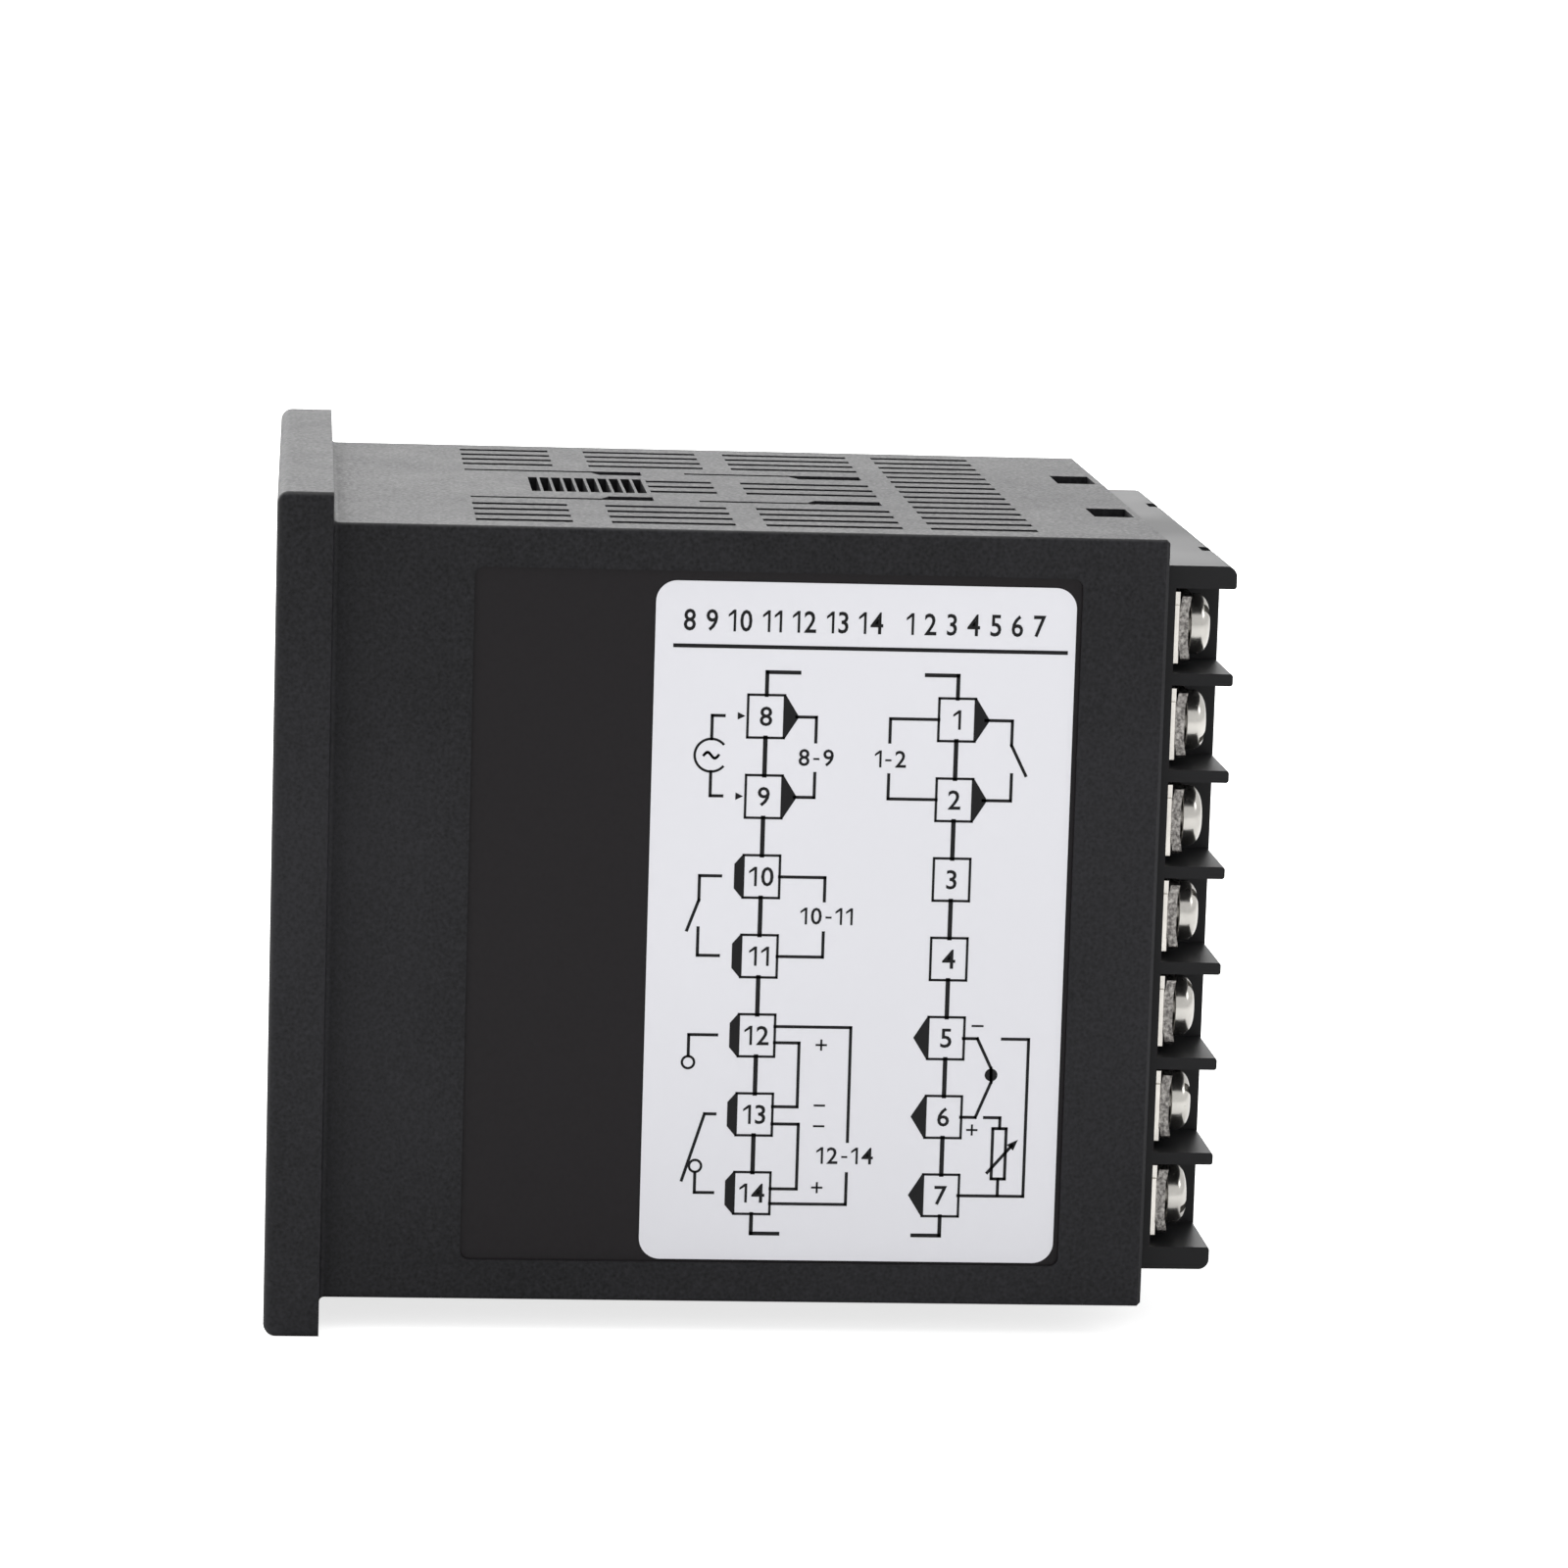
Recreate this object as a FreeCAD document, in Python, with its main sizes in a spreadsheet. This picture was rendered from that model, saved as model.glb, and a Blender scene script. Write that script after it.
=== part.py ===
import FreeCAD, Part
import os
import re
import Sketcher

# A panel-mounted temperature controller: a square case whose front flange lies on the panel, a rear
# block with two columns of screw terminals, and a chassis with the display, keys and circuit boards
# that slides out of the case to the front.
#
# Frame: millimetres. The origin is the middle of the flange's rear face, which lies on the panel.
# +X is to the right as one looks at the display, +Y runs back through the panel, +Z is up.

SIZES = {
    # case with its front flange
    "flange_lip": 2.8,
    "flange_wall": 3.0,
    "flange_depth": 4.7,
    "flange_corner": 0.6,
    "flange_round": 1.0,
    "case_width": 66.4,
    "case_length": 70.5,
    "case_wall": 2.0,
    "case_round": 0.4,
    "rear_bevel": 0.3,
    "root_round": 0.45,
    "seat_depth": 3.1,
    # vent slots in the roof and the floor of the case, in four bands
    "vent_pitch": 4.07,
    "vent_width": 1.45,
    "vent_side_rows": 4,
    "vent_middle_rows": 3,
    "vent_all_rows": 15,
    "band_one_start": 12.0,
    "band_one_end": 20.2,
    "band_two_start": 23.5,
    "band_two_middle": 28.1,
    "band_two_end": 34.0,
    "band_three_start": 36.6,
    "band_three_end": 48.2,
    "band_four_start": 50.6,
    "band_four_end": 59.7,
    # keyhole slots that the panel bracket hooks into, two pairs in the roof and two in the floor
    "keyhole_outer": 11.6,
    "keyhole_narrow": 1.0,
    "keyhole_wide": 2.8,
    "keyhole_slant": 0.8,
    "keyhole_front_start": 12.0,
    "keyhole_front_step": 23.4,
    "keyhole_front_end": 28.0,
    "keyhole_rear_start": 32.0,
    "keyhole_rear_step": 41.5,
    "keyhole_rear_end": 48.0,
    # ratchet teeth that the bracket's pawl clicks along
    "ratchet_width": 11.3,
    "ratchet_start": 17.3,
    "ratchet_pitch": 1.04,
    "ratchet_land": 0.25,
    "ratchet_slope": 0.2,
    "ratchet_depth": 1.5,
    "ratchet_cells": 10,
    # windows that the rear block's hooks snap into, with a ramp in front of each
    "hook_reach": 13.3,
    "hook_window": 6.4,
    "hook_margin": 0.9,
    "hook_length": 2.4,
    "hook_gap": 0.2,
    "hook_rise": 1.2,
    "ramp_length": 1.1,
    "ramp_drop": 0.9,
    # shallow label recess in the right side wall, and the wiring label stuck in it
    "recess_start": 11.9,
    "recess_margin": 7.3,
    "recess_edge": 3.45,
    "recess_depth": 0.35,
    "recess_corner": 0.8,
    "label_length": 35.6,
    "label_edge": 0.55,
    "label_margin": 0.45,
    "label_drop": 0.3,
    "label_corner": 1.8,
    "label_thickness": 0.12,
    # guide ribs in the case, either side of each circuit board's edge
    "rib_thickness": 0.8,
    "rib_height": 1.5,
    "rib_gap": 0.3,
    "front_rib_start": 1.5,
    "front_rib_end": 11.0,
    "rear_rib_length": 5.0,
    "rear_rib_gap": 0.9,
    # rear terminal block
    "base_gap": 0.2,
    "base_inset": 0.2,
    "base_thickness": 3.4,
    "block_inset": 3.5,
    "block_stand": 6.3,
    "block_round": 0.9,
    "cells_per_column": 7,
    "cell_pitch": 8.35,
    "barrier": 1.05,
    "barrier_round": 0.25,
    "end_wall": 1.95,
    "cell_depth": 9.7,
    "cell_floor": 1.1,
    "backing_wall": 2.2,
    "backing_length": 9.9,
    "backing_end_gap": 2.2,
    "backing_gap": 0.4,
    "notch_width": 2.8,
    "notch_length": 1.4,
    "notch_depth": 0.5,
    "notch_inset": 12.7,
    # terminal contacts: a plate in each cell whose tongue folds down into the case
    "contact_thickness": 0.7,
    "contact_height": 6.16,
    "contact_inset": 0.6,
    "shoulder_step": 0.4,
    "tongue_inset": 1.7,
    "tongue_width": 3.9,
    "tongue_gap": 0.1,
    "tongue_round": 0.35,
    "leg_reach": 8.9,
    # square saddle washers and pan head screws
    "screw_inset": 5.1,
    "screw_radius": 1.45,
    "screw_length": 5.6,
    "screw_gap": 0.05,
    "well_radius": 1.9,
    "well_floor": 0.6,
    "washer_size": 5.85,
    "washer_thickness": 0.8,
    "washer_flat": 2.8,
    "washer_bow": 0.25,
    "head_radius": 2.65,
    "head_height": 1.95,
    "head_round": 1.25,
    "slot_width": 0.8,
    "slot_depth": 0.8,
    "cross_length": 3.0,
    "cross_depth": 1.3,
    # fascia, the front of the chassis
    "fascia_gap": 0.2,
    "fascia_recess": 0.7,
    "fascia_round": 0.5,
    "skirt_gap": 0.3,
    "skirt_wall": 1.2,
    "skirt_length": 2.8,
    "boss_radius": 2.4,
    "boss_height": 8.1,
    "boss_side_margin": 6.0,
    "boss_end_margin": 2.3,
    "boss_pilot": 1.0,
    "pilot_depth": 6.0,
    "pull_notch_width": 12.0,
    "pull_notch_height": 1.2,
    "pull_notch_depth": 1.2,
    # display window
    "window_width": 52.0,
    "window_top": 24.4,
    "window_bottom": 11.4,
    "lens_ledge": 1.0,
    "lens_gap": 0.1,
    "lens_thickness": 1.4,
    "lens_inset": 0.1,
    "lens_corner": 1.5,
    # keys
    "key_width": 10.0,
    "key_height": 6.0,
    "key_pitch": 13.5,
    "key_drop": 20.0,
    "key_proud": 0.6,
    "key_corner": 1.2,
    "key_gap": 0.2,
    "key_collar": 0.8,
    "key_collar_thickness": 0.8,
    "key_stem": 1.5,
    # tact switches behind the keys
    "switch_size": 6.0,
    "switch_height": 3.5,
    "switch_bore": 1.9,
    "switch_bore_depth": 1.4,
    "plunger_radius": 1.7,
    "plunger_stand": 2.0,
    "plunger_sunk": 0.8,
    # display board and what stands on its front
    "board_thickness": 1.6,
    "display_board_side_gap": 2.2,
    "display_board_end_gap": 1.9,
    "board_hole": 1.25,
    "tab_slot_gap": 0.15,
    "main_digits_width": 50.3,
    "main_digits_height": 19.0,
    "main_digits_depth": 7.8,
    "main_digits_rise": 14.1,
    "set_digits_width": 30.1,
    "set_digits_height": 14.0,
    "set_digits_depth": 7.2,
    "set_digits_reach": 9.6,
    "set_digits_drop": 3.6,
    "digits_bevel": 0.4,
    "lamp_width": 5.0,
    "lamp_height": 2.0,
    "lamp_depth": 7.0,
    "lamp_flange": 0.5,
    "lamp_pitch": 3.0,
    "lamp_count": 5,
    "lamp_reach": 18.0,
    "board_screw_radius": 0.95,
    "board_screw_length": 5.5,
    "board_screw_head": 2.1,
    "board_screw_head_height": 1.5,
    # the two circuit boards that stand behind the display board
    "contact_gap": 0.3,
    "side_board_edge_gap": 0.5,
    "side_board_rear_gap": 2.9,
    "side_board_corner": 3.0,
    "tab_height": 8.0,
    "tab_reach": 13.0,
    "tab_proud": 0.8,
    "header_size": 2.54,
    "header_pins": 10,
    "header_groove": 0.3,
    "spacer_height": 8.0,
    "spacer_thickness": 2.5,
    "spacer_rear_gap": 2.2,
    "spacer_web": 1.2,
    "tenon_height": 4.0,
    "tenon_gap": 0.1,
    # mains transformer
    "core_stack": 12.0,
    "core_length": 26.0,
    "core_height": 24.0,
    "core_leg": 7.5,
    "core_limb": 3.75,
    "core_yoke": 4.0,
    "core_stand": 0.6,
    "core_gap": 0.5,
    "core_z": -15.4,
    "bobbin_gap": 0.1,
    "bobbin_wall": 0.8,
    "bobbin_flange": 0.9,
    "bobbin_foot": 3.4,
    "winding_build": 3.2,
    "winding_gap": 0.1,
    "tape_round": 1.2,
    # relays
    "relay_length": 19.0,
    "relay_width": 15.4,
    "relay_height": 15.0,
    "relay_round": 0.6,
    "relay_stand": 0.4,
    "relay_pin": 0.5,
    "relay_front": 11.0,
    "relay_pitch": 21.0,
    "relay_z": 21.2,
    # smaller parts on the power board
    "can_radius": 5.0,
    "can_height": 16.0,
    "can_gap": 0.6,
    "can_z": -21.0,
    "small_can_radius": 3.15,
    "small_can_height": 11.0,
    "small_can_margin": 0.4,
    "small_can_z": -24.5,
    "small_can_gap": 0.7,
    "can_rim": 0.5,
    "can_groove": 0.4,
    "bridge_length": 8.6,
    "bridge_width": 6.4,
    "bridge_height": 3.3,
    "bridge_margin": 2.7,
    "bridge_z": 10.0,
    "fuse_radius": 2.5,
    "fuse_length": 15.0,
    "fuse_cap": 3.5,
    "fuse_stand": 0.8,
    "fuse_y": 20.0,
    "fuse_z": 6.0,
    "clip_width": 2.4,
    "varistor_radius": 4.5,
    "varistor_thickness": 3.6,
    "varistor_stand": 1.6,
    "varistor_y": 36.5,
    "varistor_z": 5.6,
    "lead_radius": 0.3,
    "regulator_width": 10.0,
    "regulator_height": 9.2,
    "regulator_depth": 4.4,
    "regulator_tab": 1.3,
    "regulator_tab_height": 6.0,
    "regulator_stand": 4.0,
    "regulator_pitch": 2.54,
    "regulator_z": -6.0,
    "sink_gap": 3.9,
    "sink_width": 16.0,
    "sink_height": 22.0,
    "sink_plate": 1.4,
    "sink_fin": 1.0,
    "sink_fin_depth": 4.0,
    "sink_fins": 5,
    # parts on the control board
    "chip_length": 17.9,
    "chip_width": 7.5,
    "chip_height": 2.3,
    "chip_pins": 14,
    "chip_y": 26.0,
    "chip_z": -8.0,
    "small_chip_length": 5.0,
    "small_chip_width": 4.0,
    "small_chip_height": 1.6,
    "small_chip_pins": 4,
    "small_chip_y": 42.0,
    "small_chip_z": -18.0,
    "pin_pitch": 1.27,
    "pin_width": 0.45,
    "pin_reach": 1.2,
    "pin_thickness": 0.25,
    "crystal_length": 11.0,
    "crystal_width": 4.6,
    "crystal_height": 3.6,
    "crystal_y": 42.0,
    "crystal_z": -6.0,
    "coupler_length": 6.4,
    "coupler_width": 4.6,
    "coupler_height": 3.5,
    "coupler_pitch": 7.2,
    "coupler_y": 38.0,
    "coupler_z": 10.0,
    "film_length": 7.2,
    "film_width": 2.5,
    "film_height": 6.5,
    "film_pitch": 4.6,
    "film_rear_gap": 8.15,
    "film_z": -14.0,
    "network_length": 20.3,
    "network_width": 2.0,
    "network_height": 5.0,
    "network_y": 24.0,
    "network_z": -24.0,
}

doc = FreeCAD.newDocument("TemperatureController")
sheet = doc.addObject("Spreadsheet::Sheet", "Sizes")
for row, (size_name, size_value) in enumerate(SIZES.items(), start=1):
    sheet.set(f"A{row}", size_name)
    sheet.set(f"B{row}", str(size_value))
    sheet.setAlias(f"B{row}", size_name)
doc.recompute()

# Places that several pieces share, as formulas of the sizes
FLANGE_WIDTH = "(case_width + 2*flange_lip)"
FASCIA_POCKET = "(case_width + 2*flange_lip - 2*flange_wall)"
HALF_CAVITY = "(case_width/2 - case_wall)"
RECESS_HEIGHT = "(case_width - 2*recess_edge)"
LABEL_HEIGHT = "(case_width - 2*recess_edge - 2*label_edge)"
BLOCK_WIDTH = "(case_width - 2*block_inset)"
SCREW_REACH = "(case_width/2 - block_inset - screw_inset)"
TONGUE_REACH = "(case_width/2 - block_inset - tongue_inset)"
SHOULDER_REACH = "(case_width/2 - block_inset - tongue_inset - shoulder_step)"
NOTCH_REACH = "(case_width/2 - block_inset - notch_inset)"
BACKING_HEIGHT = "(case_width - 2*case_wall - 2*backing_end_gap)"
LEDGE = "(seat_depth - flange_depth)"
FASCIA_FRONT = "(fascia_recess - flange_depth)"
BASE_REAR = "(case_length - base_inset)"
BASE_INNER = "(case_length - base_inset - base_thickness)"
BLOCK_REAR = "(case_length + block_stand)"
CELL_FLOOR = "(case_length + cell_floor)"
COLUMN_INNER = f"({BLOCK_WIDTH}/2 - cell_depth)"
FIRST_CELL = "(-(cells_per_column - 1)*cell_pitch/2)"
BLOCK_HALF_HEIGHT = "((cells_per_column*cell_pitch - barrier)/2 + end_wall)"
HOOK_END = "(case_length - hook_margin)"
HOOK_START = "(case_length - hook_margin - hook_length)"
LEG_INNER = f"({TONGUE_REACH} - contact_thickness)"
CONTACT_REAR = "(case_length + cell_floor + contact_thickness)"
SCREW_SEAT = "(case_length + cell_floor + contact_thickness + washer_thickness + washer_bow)"
BOARD_OUTER = f"({TONGUE_REACH} - contact_thickness - contact_gap)"
BOARD_INNER = f"({TONGUE_REACH} - contact_thickness - contact_gap - board_thickness)"
DISPLAY_BOARD_FRONT = "(seat_depth - flange_depth + boss_height)"
DISPLAY_BOARD_REAR = "(seat_depth - flange_depth + boss_height + board_thickness)"
SWITCH_FRONT = "(seat_depth - flange_depth + boss_height - switch_height)"
PLUNGER_FRONT = "(seat_depth - flange_depth + boss_height - switch_height - plunger_stand)"
DISPLAY_BOARD_WIDTH = f"(2*{HALF_CAVITY} - 2*display_board_side_gap)"
DISPLAY_BOARD_HEIGHT = f"(2*{HALF_CAVITY} - 2*display_board_end_gap)"
BOSS_REACH = f"({DISPLAY_BOARD_WIDTH}/2 - boss_side_margin)"
BOSS_RISE = f"({DISPLAY_BOARD_HEIGHT}/2 - boss_end_margin)"
SIDE_BOARD_HEIGHT = f"(2*{HALF_CAVITY} - 2*side_board_edge_gap)"
SIDE_BOARD_END = f"({BASE_INNER} - side_board_rear_gap)"
SPACER_REAR = f"({SIDE_BOARD_END} - spacer_rear_gap)"
SPACER_FRONT = f"({SPACER_REAR} - spacer_thickness)"

subparts = []


# ---------------------------------------------------------------- helpers


def cells(formula):
    """The formula with every size name turned into a reference to its cell."""
    return re.sub(r"\w+", lambda word: "Sizes." + word[0] if word[0] in SIZES else word[0], formula)


def value(formula):
    """What a formula comes to, in millimetres."""
    return float(sheet.evalExpression(cells(formula)))


def minus(formula):
    return f"(-({formula}))"


def bind(thing, **formulas):
    """Ties properties of an object to formulas of the sizes; a double underscore stands for a dot."""
    for name, formula in formulas.items():
        thing.setExpression(name.replace("__", "."), cells(formula))


def keep(thing, label):
    """Makes an object one of the sub-parts that are written out, under its own name."""
    thing.Label = label
    subparts.append(thing)
    return thing


def new_body(label):
    return keep(doc.addObject("PartDesign::Body", label), label)


def origin_of(body, role):
    return next(item for item in body.Origin.OriginFeatures if item.Role == role)


def span(middle, length):
    """The two ends of a length about its middle."""
    return f"({middle} - ({length})/2)", f"({middle} + ({length})/2)"


def rectangle(low_x, high_x, low_y, high_y):
    return [(low_x, low_y), (high_x, low_y), (high_x, high_y), (low_x, high_y)]


def centred(x, y, width, height):
    return rectangle(*span(x, width), *span(y, height))


def square(width):
    return centred("0", "0", width, width)


def mirrored(corners):
    return [(minus(x), y) for x, y in corners]


def circle(x, y, radius):
    return {"centre": (x, y), "radius": radius}


# Each axis with the origin plane across it and the side that the plane's sketch faces
PLANES = {"X": ("YZ_Plane", 1), "Y": ("XZ_Plane", -1), "Z": ("XY_Plane", 1)}


def place_point(sketch, geometry, point, place):
    """Fixes a point of a sketch at its distances from the sketch's origin."""
    for kind, formula in zip(("DistanceX", "DistanceY"), place):
        number = sketch.addConstraint(Sketcher.Constraint(kind, -1, 1, geometry, point, value(formula)))
        sketch.setExpression(f"Constraints[{number}]", cells(formula))


def draw_polygon(sketch, corners):
    spots = [FreeCAD.Vector(value(x), value(y), 0) for x, y in corners]
    sides = [sketch.addGeometry(Part.LineSegment(a, b), False) for a, b in zip(spots, spots[1:] + spots[:1])]
    for side, following in zip(sides, sides[1:] + sides[:1]):
        sketch.addConstraint(Sketcher.Constraint("Coincident", side, 2, following, 1))
    for side, corner in zip(sides, corners):
        place_point(sketch, side, 1, corner)


def draw_circle(sketch, centre, radius):
    spot = FreeCAD.Vector(value(centre[0]), value(centre[1]), 0)
    ring = sketch.addGeometry(Part.Circle(spot, FreeCAD.Vector(0, 0, 1), value(radius)), False)
    place_point(sketch, ring, 3, centre)
    number = sketch.addConstraint(Sketcher.Constraint("Radius", ring, value(radius)))
    sketch.setExpression(f"Constraints[{number}]", cells(radius))


def sketch_across(body, name, axis, level, outlines):
    """A sketch across one axis, at a level along it, with closed polygons and circles."""
    role, side = PLANES[axis]
    sketch = body.newObject("Sketcher::SketchObject", f"{body.Label}_{name}_sketch")
    sketch.AttachmentSupport = [(origin_of(body, role), "")]
    sketch.MapMode = "FlatFace"
    bind(sketch, AttachmentOffset__Base__z=level if side > 0 else minus(level))
    for outline in outlines:
        if isinstance(outline, dict):
            draw_circle(sketch, outline["centre"], outline["radius"])
        else:
            draw_polygon(sketch, outline)
    return sketch


def pad(body, name, axis, low, high, *outlines):
    """Adds the outlines to a body, from one level along an axis to a higher one."""
    feature = body.newObject("PartDesign::Pad", f"{body.Label}_{name}")
    feature.Profile = sketch_across(body, name, axis, low, outlines)
    feature.Reversed = PLANES[axis][1] < 0
    bind(feature, Length=f"{high} - {low}")
    doc.recompute()
    return feature


def pocket(body, name, axis, low, high, *outlines):
    """Cuts the outlines out of a body, from one level along an axis to a higher one."""
    before = body.Tip.Shape.Volume
    feature = body.newObject("PartDesign::Pocket", f"{body.Label}_{name}")
    feature.Profile = sketch_across(body, name, axis, low, outlines)
    feature.Reversed = PLANES[axis][1] > 0
    bind(feature, Length=f"{high} - {low}")
    doc.recompute()
    if not feature.Shape.Volume < before:
        raise RuntimeError(f"{feature.Name} cuts nothing")
    return feature


def edge_names(shape, wanted):
    return [f"Edge{number}" for number, edge in enumerate(shape.Edges, start=1) if wanted(edge.BoundBox)]


def soften(body, name, kind, radius, wanted):
    """Rounds (kind Fillet) or bevels (kind Chamfer) the edges of a body whose boxes are wanted."""
    base = body.Tip
    edges = edge_names(base.Shape, wanted)
    if not edges:
        raise RuntimeError(f"{body.Label} has no edges for {name}")
    feature = body.newObject(f"PartDesign::{kind}", f"{body.Label}_{name}")
    feature.Base = (base, edges)
    bind(feature, **{"Radius" if kind == "Fillet" else "Size": radius})
    doc.recompute()
    return feature


def repeat(body, name, original, axis, step, count):
    """Repeats a feature along an axis. With no original, the whole body is repeated."""
    feature = body.newObject("PartDesign::LinearPattern", f"{body.Label}_{name}")
    if original is None:
        feature.TransformMode = "Whole shape"
    else:
        feature.Originals = [original]
    feature.Direction = (origin_of(body, f"{axis}_Axis"), [""])
    bind(feature, Length=f"({step})*(({count}) - 1)", Occurrences=count)
    body.Tip = feature
    doc.recompute()
    return feature


def reflect(body, name, original, role):
    """Mirrors a feature, or with no original the whole body, in one of the origin planes."""
    feature = body.newObject("PartDesign::Mirrored", f"{body.Label}_{name}")
    if original is None:
        feature.TransformMode = "Whole shape"
    else:
        feature.Originals = [original]
    feature.MirrorPlane = (origin_of(body, role), [""])
    body.Tip = feature
    doc.recompute()
    return feature


def near(a, b):
    return abs(a - b) < 0.01


def lies_at(box, axis, level):
    """Whether an edge's box is flat and at one level along an axis."""
    low, high = {"X": (box.XMin, box.XMax), "Y": (box.YMin, box.YMax), "Z": (box.ZMin, box.ZMax)}[axis]
    return near(low, level) and near(high, level)


def runs_along(box, axis):
    """Whether an edge's box has its length along one axis only."""
    spans = {"X": box.XLength, "Y": box.YLength, "Z": box.ZLength}
    return spans.pop(axis) > 0.01 and max(spans.values()) < 0.01


def block(name, x, y, z):
    """A box between two levels along each axis."""
    thing = doc.addObject("Part::Box", name)
    bind(thing, Length=f"{x[1]} - {x[0]}", Width=f"{y[1]} - {y[0]}", Height=f"{z[1]} - {z[0]}")
    bind(thing, Placement__Base__x=x[0], Placement__Base__y=y[0], Placement__Base__z=z[0])
    return thing


TURNS = {
    "X": FreeCAD.Rotation(FreeCAD.Vector(0, 1, 0), 90),
    "Y": FreeCAD.Rotation(FreeCAD.Vector(1, 0, 0), -90),
    "Z": FreeCAD.Rotation(),
}


def rod(name, axis, start, length, radius):
    """A cylinder that starts at a point and runs along an axis."""
    thing = doc.addObject("Part::Cylinder", name)
    thing.Placement = FreeCAD.Placement(FreeCAD.Vector(), TURNS[axis])
    bind(thing, Radius=radius, Height=length)
    bind(thing, Placement__Base__x=start[0], Placement__Base__y=start[1], Placement__Base__z=start[2])
    return thing


def joined(name, *things):
    """Several shapes fused to one solid."""
    thing = doc.addObject("Part::MultiFuse", name)
    thing.Shapes = list(things)
    thing.Refine = True
    return thing


def grouped(name, things):
    """Like solids that share one node and stay separate."""
    thing = doc.addObject("Part::Compound", name)
    thing.Links = list(things)
    return thing


def rounded(name, base, radius, wanted):
    """A shape with some of its straight edges rounded."""
    doc.recompute()
    thing = doc.addObject("Part::Fillet", name)
    thing.Base = base
    amount = value(radius)
    numbers = [n for n, edge in enumerate(base.Shape.Edges, start=1) if wanted(edge.BoundBox)]
    thing.Edges = [(number, amount, amount) for number in numbers]
    return thing


# ---------------------------------------------------------------- the case and its terminal block


def vent_slot(row, start, end):
    """One slot of the vent grid, in a row counted from the middle."""
    return rectangle(f"{row}*vent_pitch - vent_width/2", f"{row}*vent_pitch + vent_width/2", start, end)


def keyhole(start, step, end):
    """A slot for the bracket's foot: narrow in front, then widening towards the middle."""
    return [
        ("keyhole_outer", start),
        ("keyhole_outer", end),
        ("keyhole_outer - keyhole_wide", end),
        ("keyhole_outer - keyhole_wide", f"{step} + keyhole_slant"),
        ("keyhole_outer - keyhole_narrow", step),
        ("keyhole_outer - keyhole_narrow", start),
    ]


def ratchet_cell(side):
    """The gap between two ratchet teeth, seen along X: its front face slopes, its rear face is steep."""
    surface = f"{side}*(case_width/2)"
    floor = f"{side}*(case_width/2 - ratchet_depth)"
    return [
        ("ratchet_start + ratchet_land", surface),
        ("ratchet_start + ratchet_pitch", surface),
        ("ratchet_start + ratchet_pitch", floor),
        ("ratchet_start + ratchet_land + ratchet_slope", floor),
    ]


def hook_ramp(side):
    """The slope in front of a hook window, seen along X."""
    surface = f"{side}*(case_width/2)"
    return [
        (f"{HOOK_START} - ramp_length", surface),
        (f"{HOOK_START} + hook_gap", surface),
        (f"{HOOK_START} + hook_gap", f"{side}*(case_width/2 - ramp_drop)"),
        (HOOK_START, f"{side}*(case_width/2 - ramp_drop)"),
    ]


def guide_ribs():
    """Ribs on the roof and the floor inside, either side of the two circuit boards."""
    low = f"({HALF_CAVITY} - rib_height)"
    high = f"({HALF_CAVITY} + case_wall/2)"
    inner = (f"{BOARD_INNER} - rib_gap - rib_thickness", f"{BOARD_INNER} - rib_gap")
    outer = (f"{BOARD_OUTER} + rib_gap", f"{BOARD_OUTER} + rib_gap + rib_thickness")
    ribs = []
    for start, end in (inner, outer):
        for bottom, top in ((low, high), (minus(high), minus(low))):
            ribs.append(rectangle(start, end, bottom, top))
            ribs.append(mirrored(rectangle(start, end, bottom, top)))
    return ribs


def make_case():
    """The one-piece case: a flange with a pocket for the fascia, and a square tube open at the rear."""
    body = new_body("case_shell")
    half = value("case_width/2")
    pad(body, "flange", "Y", "(-flange_depth)", "0", square(FLANGE_WIDTH))
    soften(body, "flange_corners", "Fillet", "flange_corner", lambda box: runs_along(box, "Y"))
    front = value("-flange_depth")
    soften(body, "flange_front", "Fillet", "flange_round", lambda box: lies_at(box, "Y", front))
    pad(body, "tube", "Y", "0", "case_length", square("case_width"))
    soften(
        body,
        "long_edges",
        "Fillet",
        "case_round",
        lambda box: runs_along(box, "Y") and box.YMax > 1 and near(abs(box.XMin), half),
    )
    rear = value("case_length")
    soften(body, "rear_edge", "Chamfer", "rear_bevel", lambda box: lies_at(box, "Y", rear))
    soften(
        body,
        "root",
        "Fillet",
        "root_round",
        lambda box: lies_at(box, "Y", 0) and max(box.XMax, box.ZMax, -box.XMin, -box.ZMin) < half + 0.1,
    )
    pocket(body, FASCIA_POCKET, "Y", "(-flange_depth)", LEDGE, square(FASCIA_POCKET))
    pocket(body, "cavity", "Y", LEDGE, "case_length", square("case_width - 2*case_wall"))
    ribs = guide_ribs()
    pad(body, "front_ribs", "Y", "front_rib_start", "front_rib_end", *ribs)
    rib_end = f"({BASE_INNER} - rear_rib_gap)"
    pad(body, "rear_ribs", "Y", f"({rib_end} - rear_rib_length)", rib_end, *ribs)
    recess_middle = "(recess_start + case_length - recess_margin)/2"
    recess_length = "case_length - recess_margin - recess_start"
    outline = centred(recess_middle, "0", recess_length, RECESS_HEIGHT)
    pocket(body, "label_recess", "X", "(case_width/2 - recess_depth)", "(case_width/2 + 1)", outline)
    floor = value("case_width/2 - recess_depth")
    soften(
        body,
        "recess_corners",
        "Fillet",
        "recess_corner",
        lambda box: runs_along(box, "X") and near(box.XMin, floor) and near(box.XMax, half),
    )
    make_hook_windows(body)
    make_bracket_slots(body)
    make_vents(body)
    return body


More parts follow.
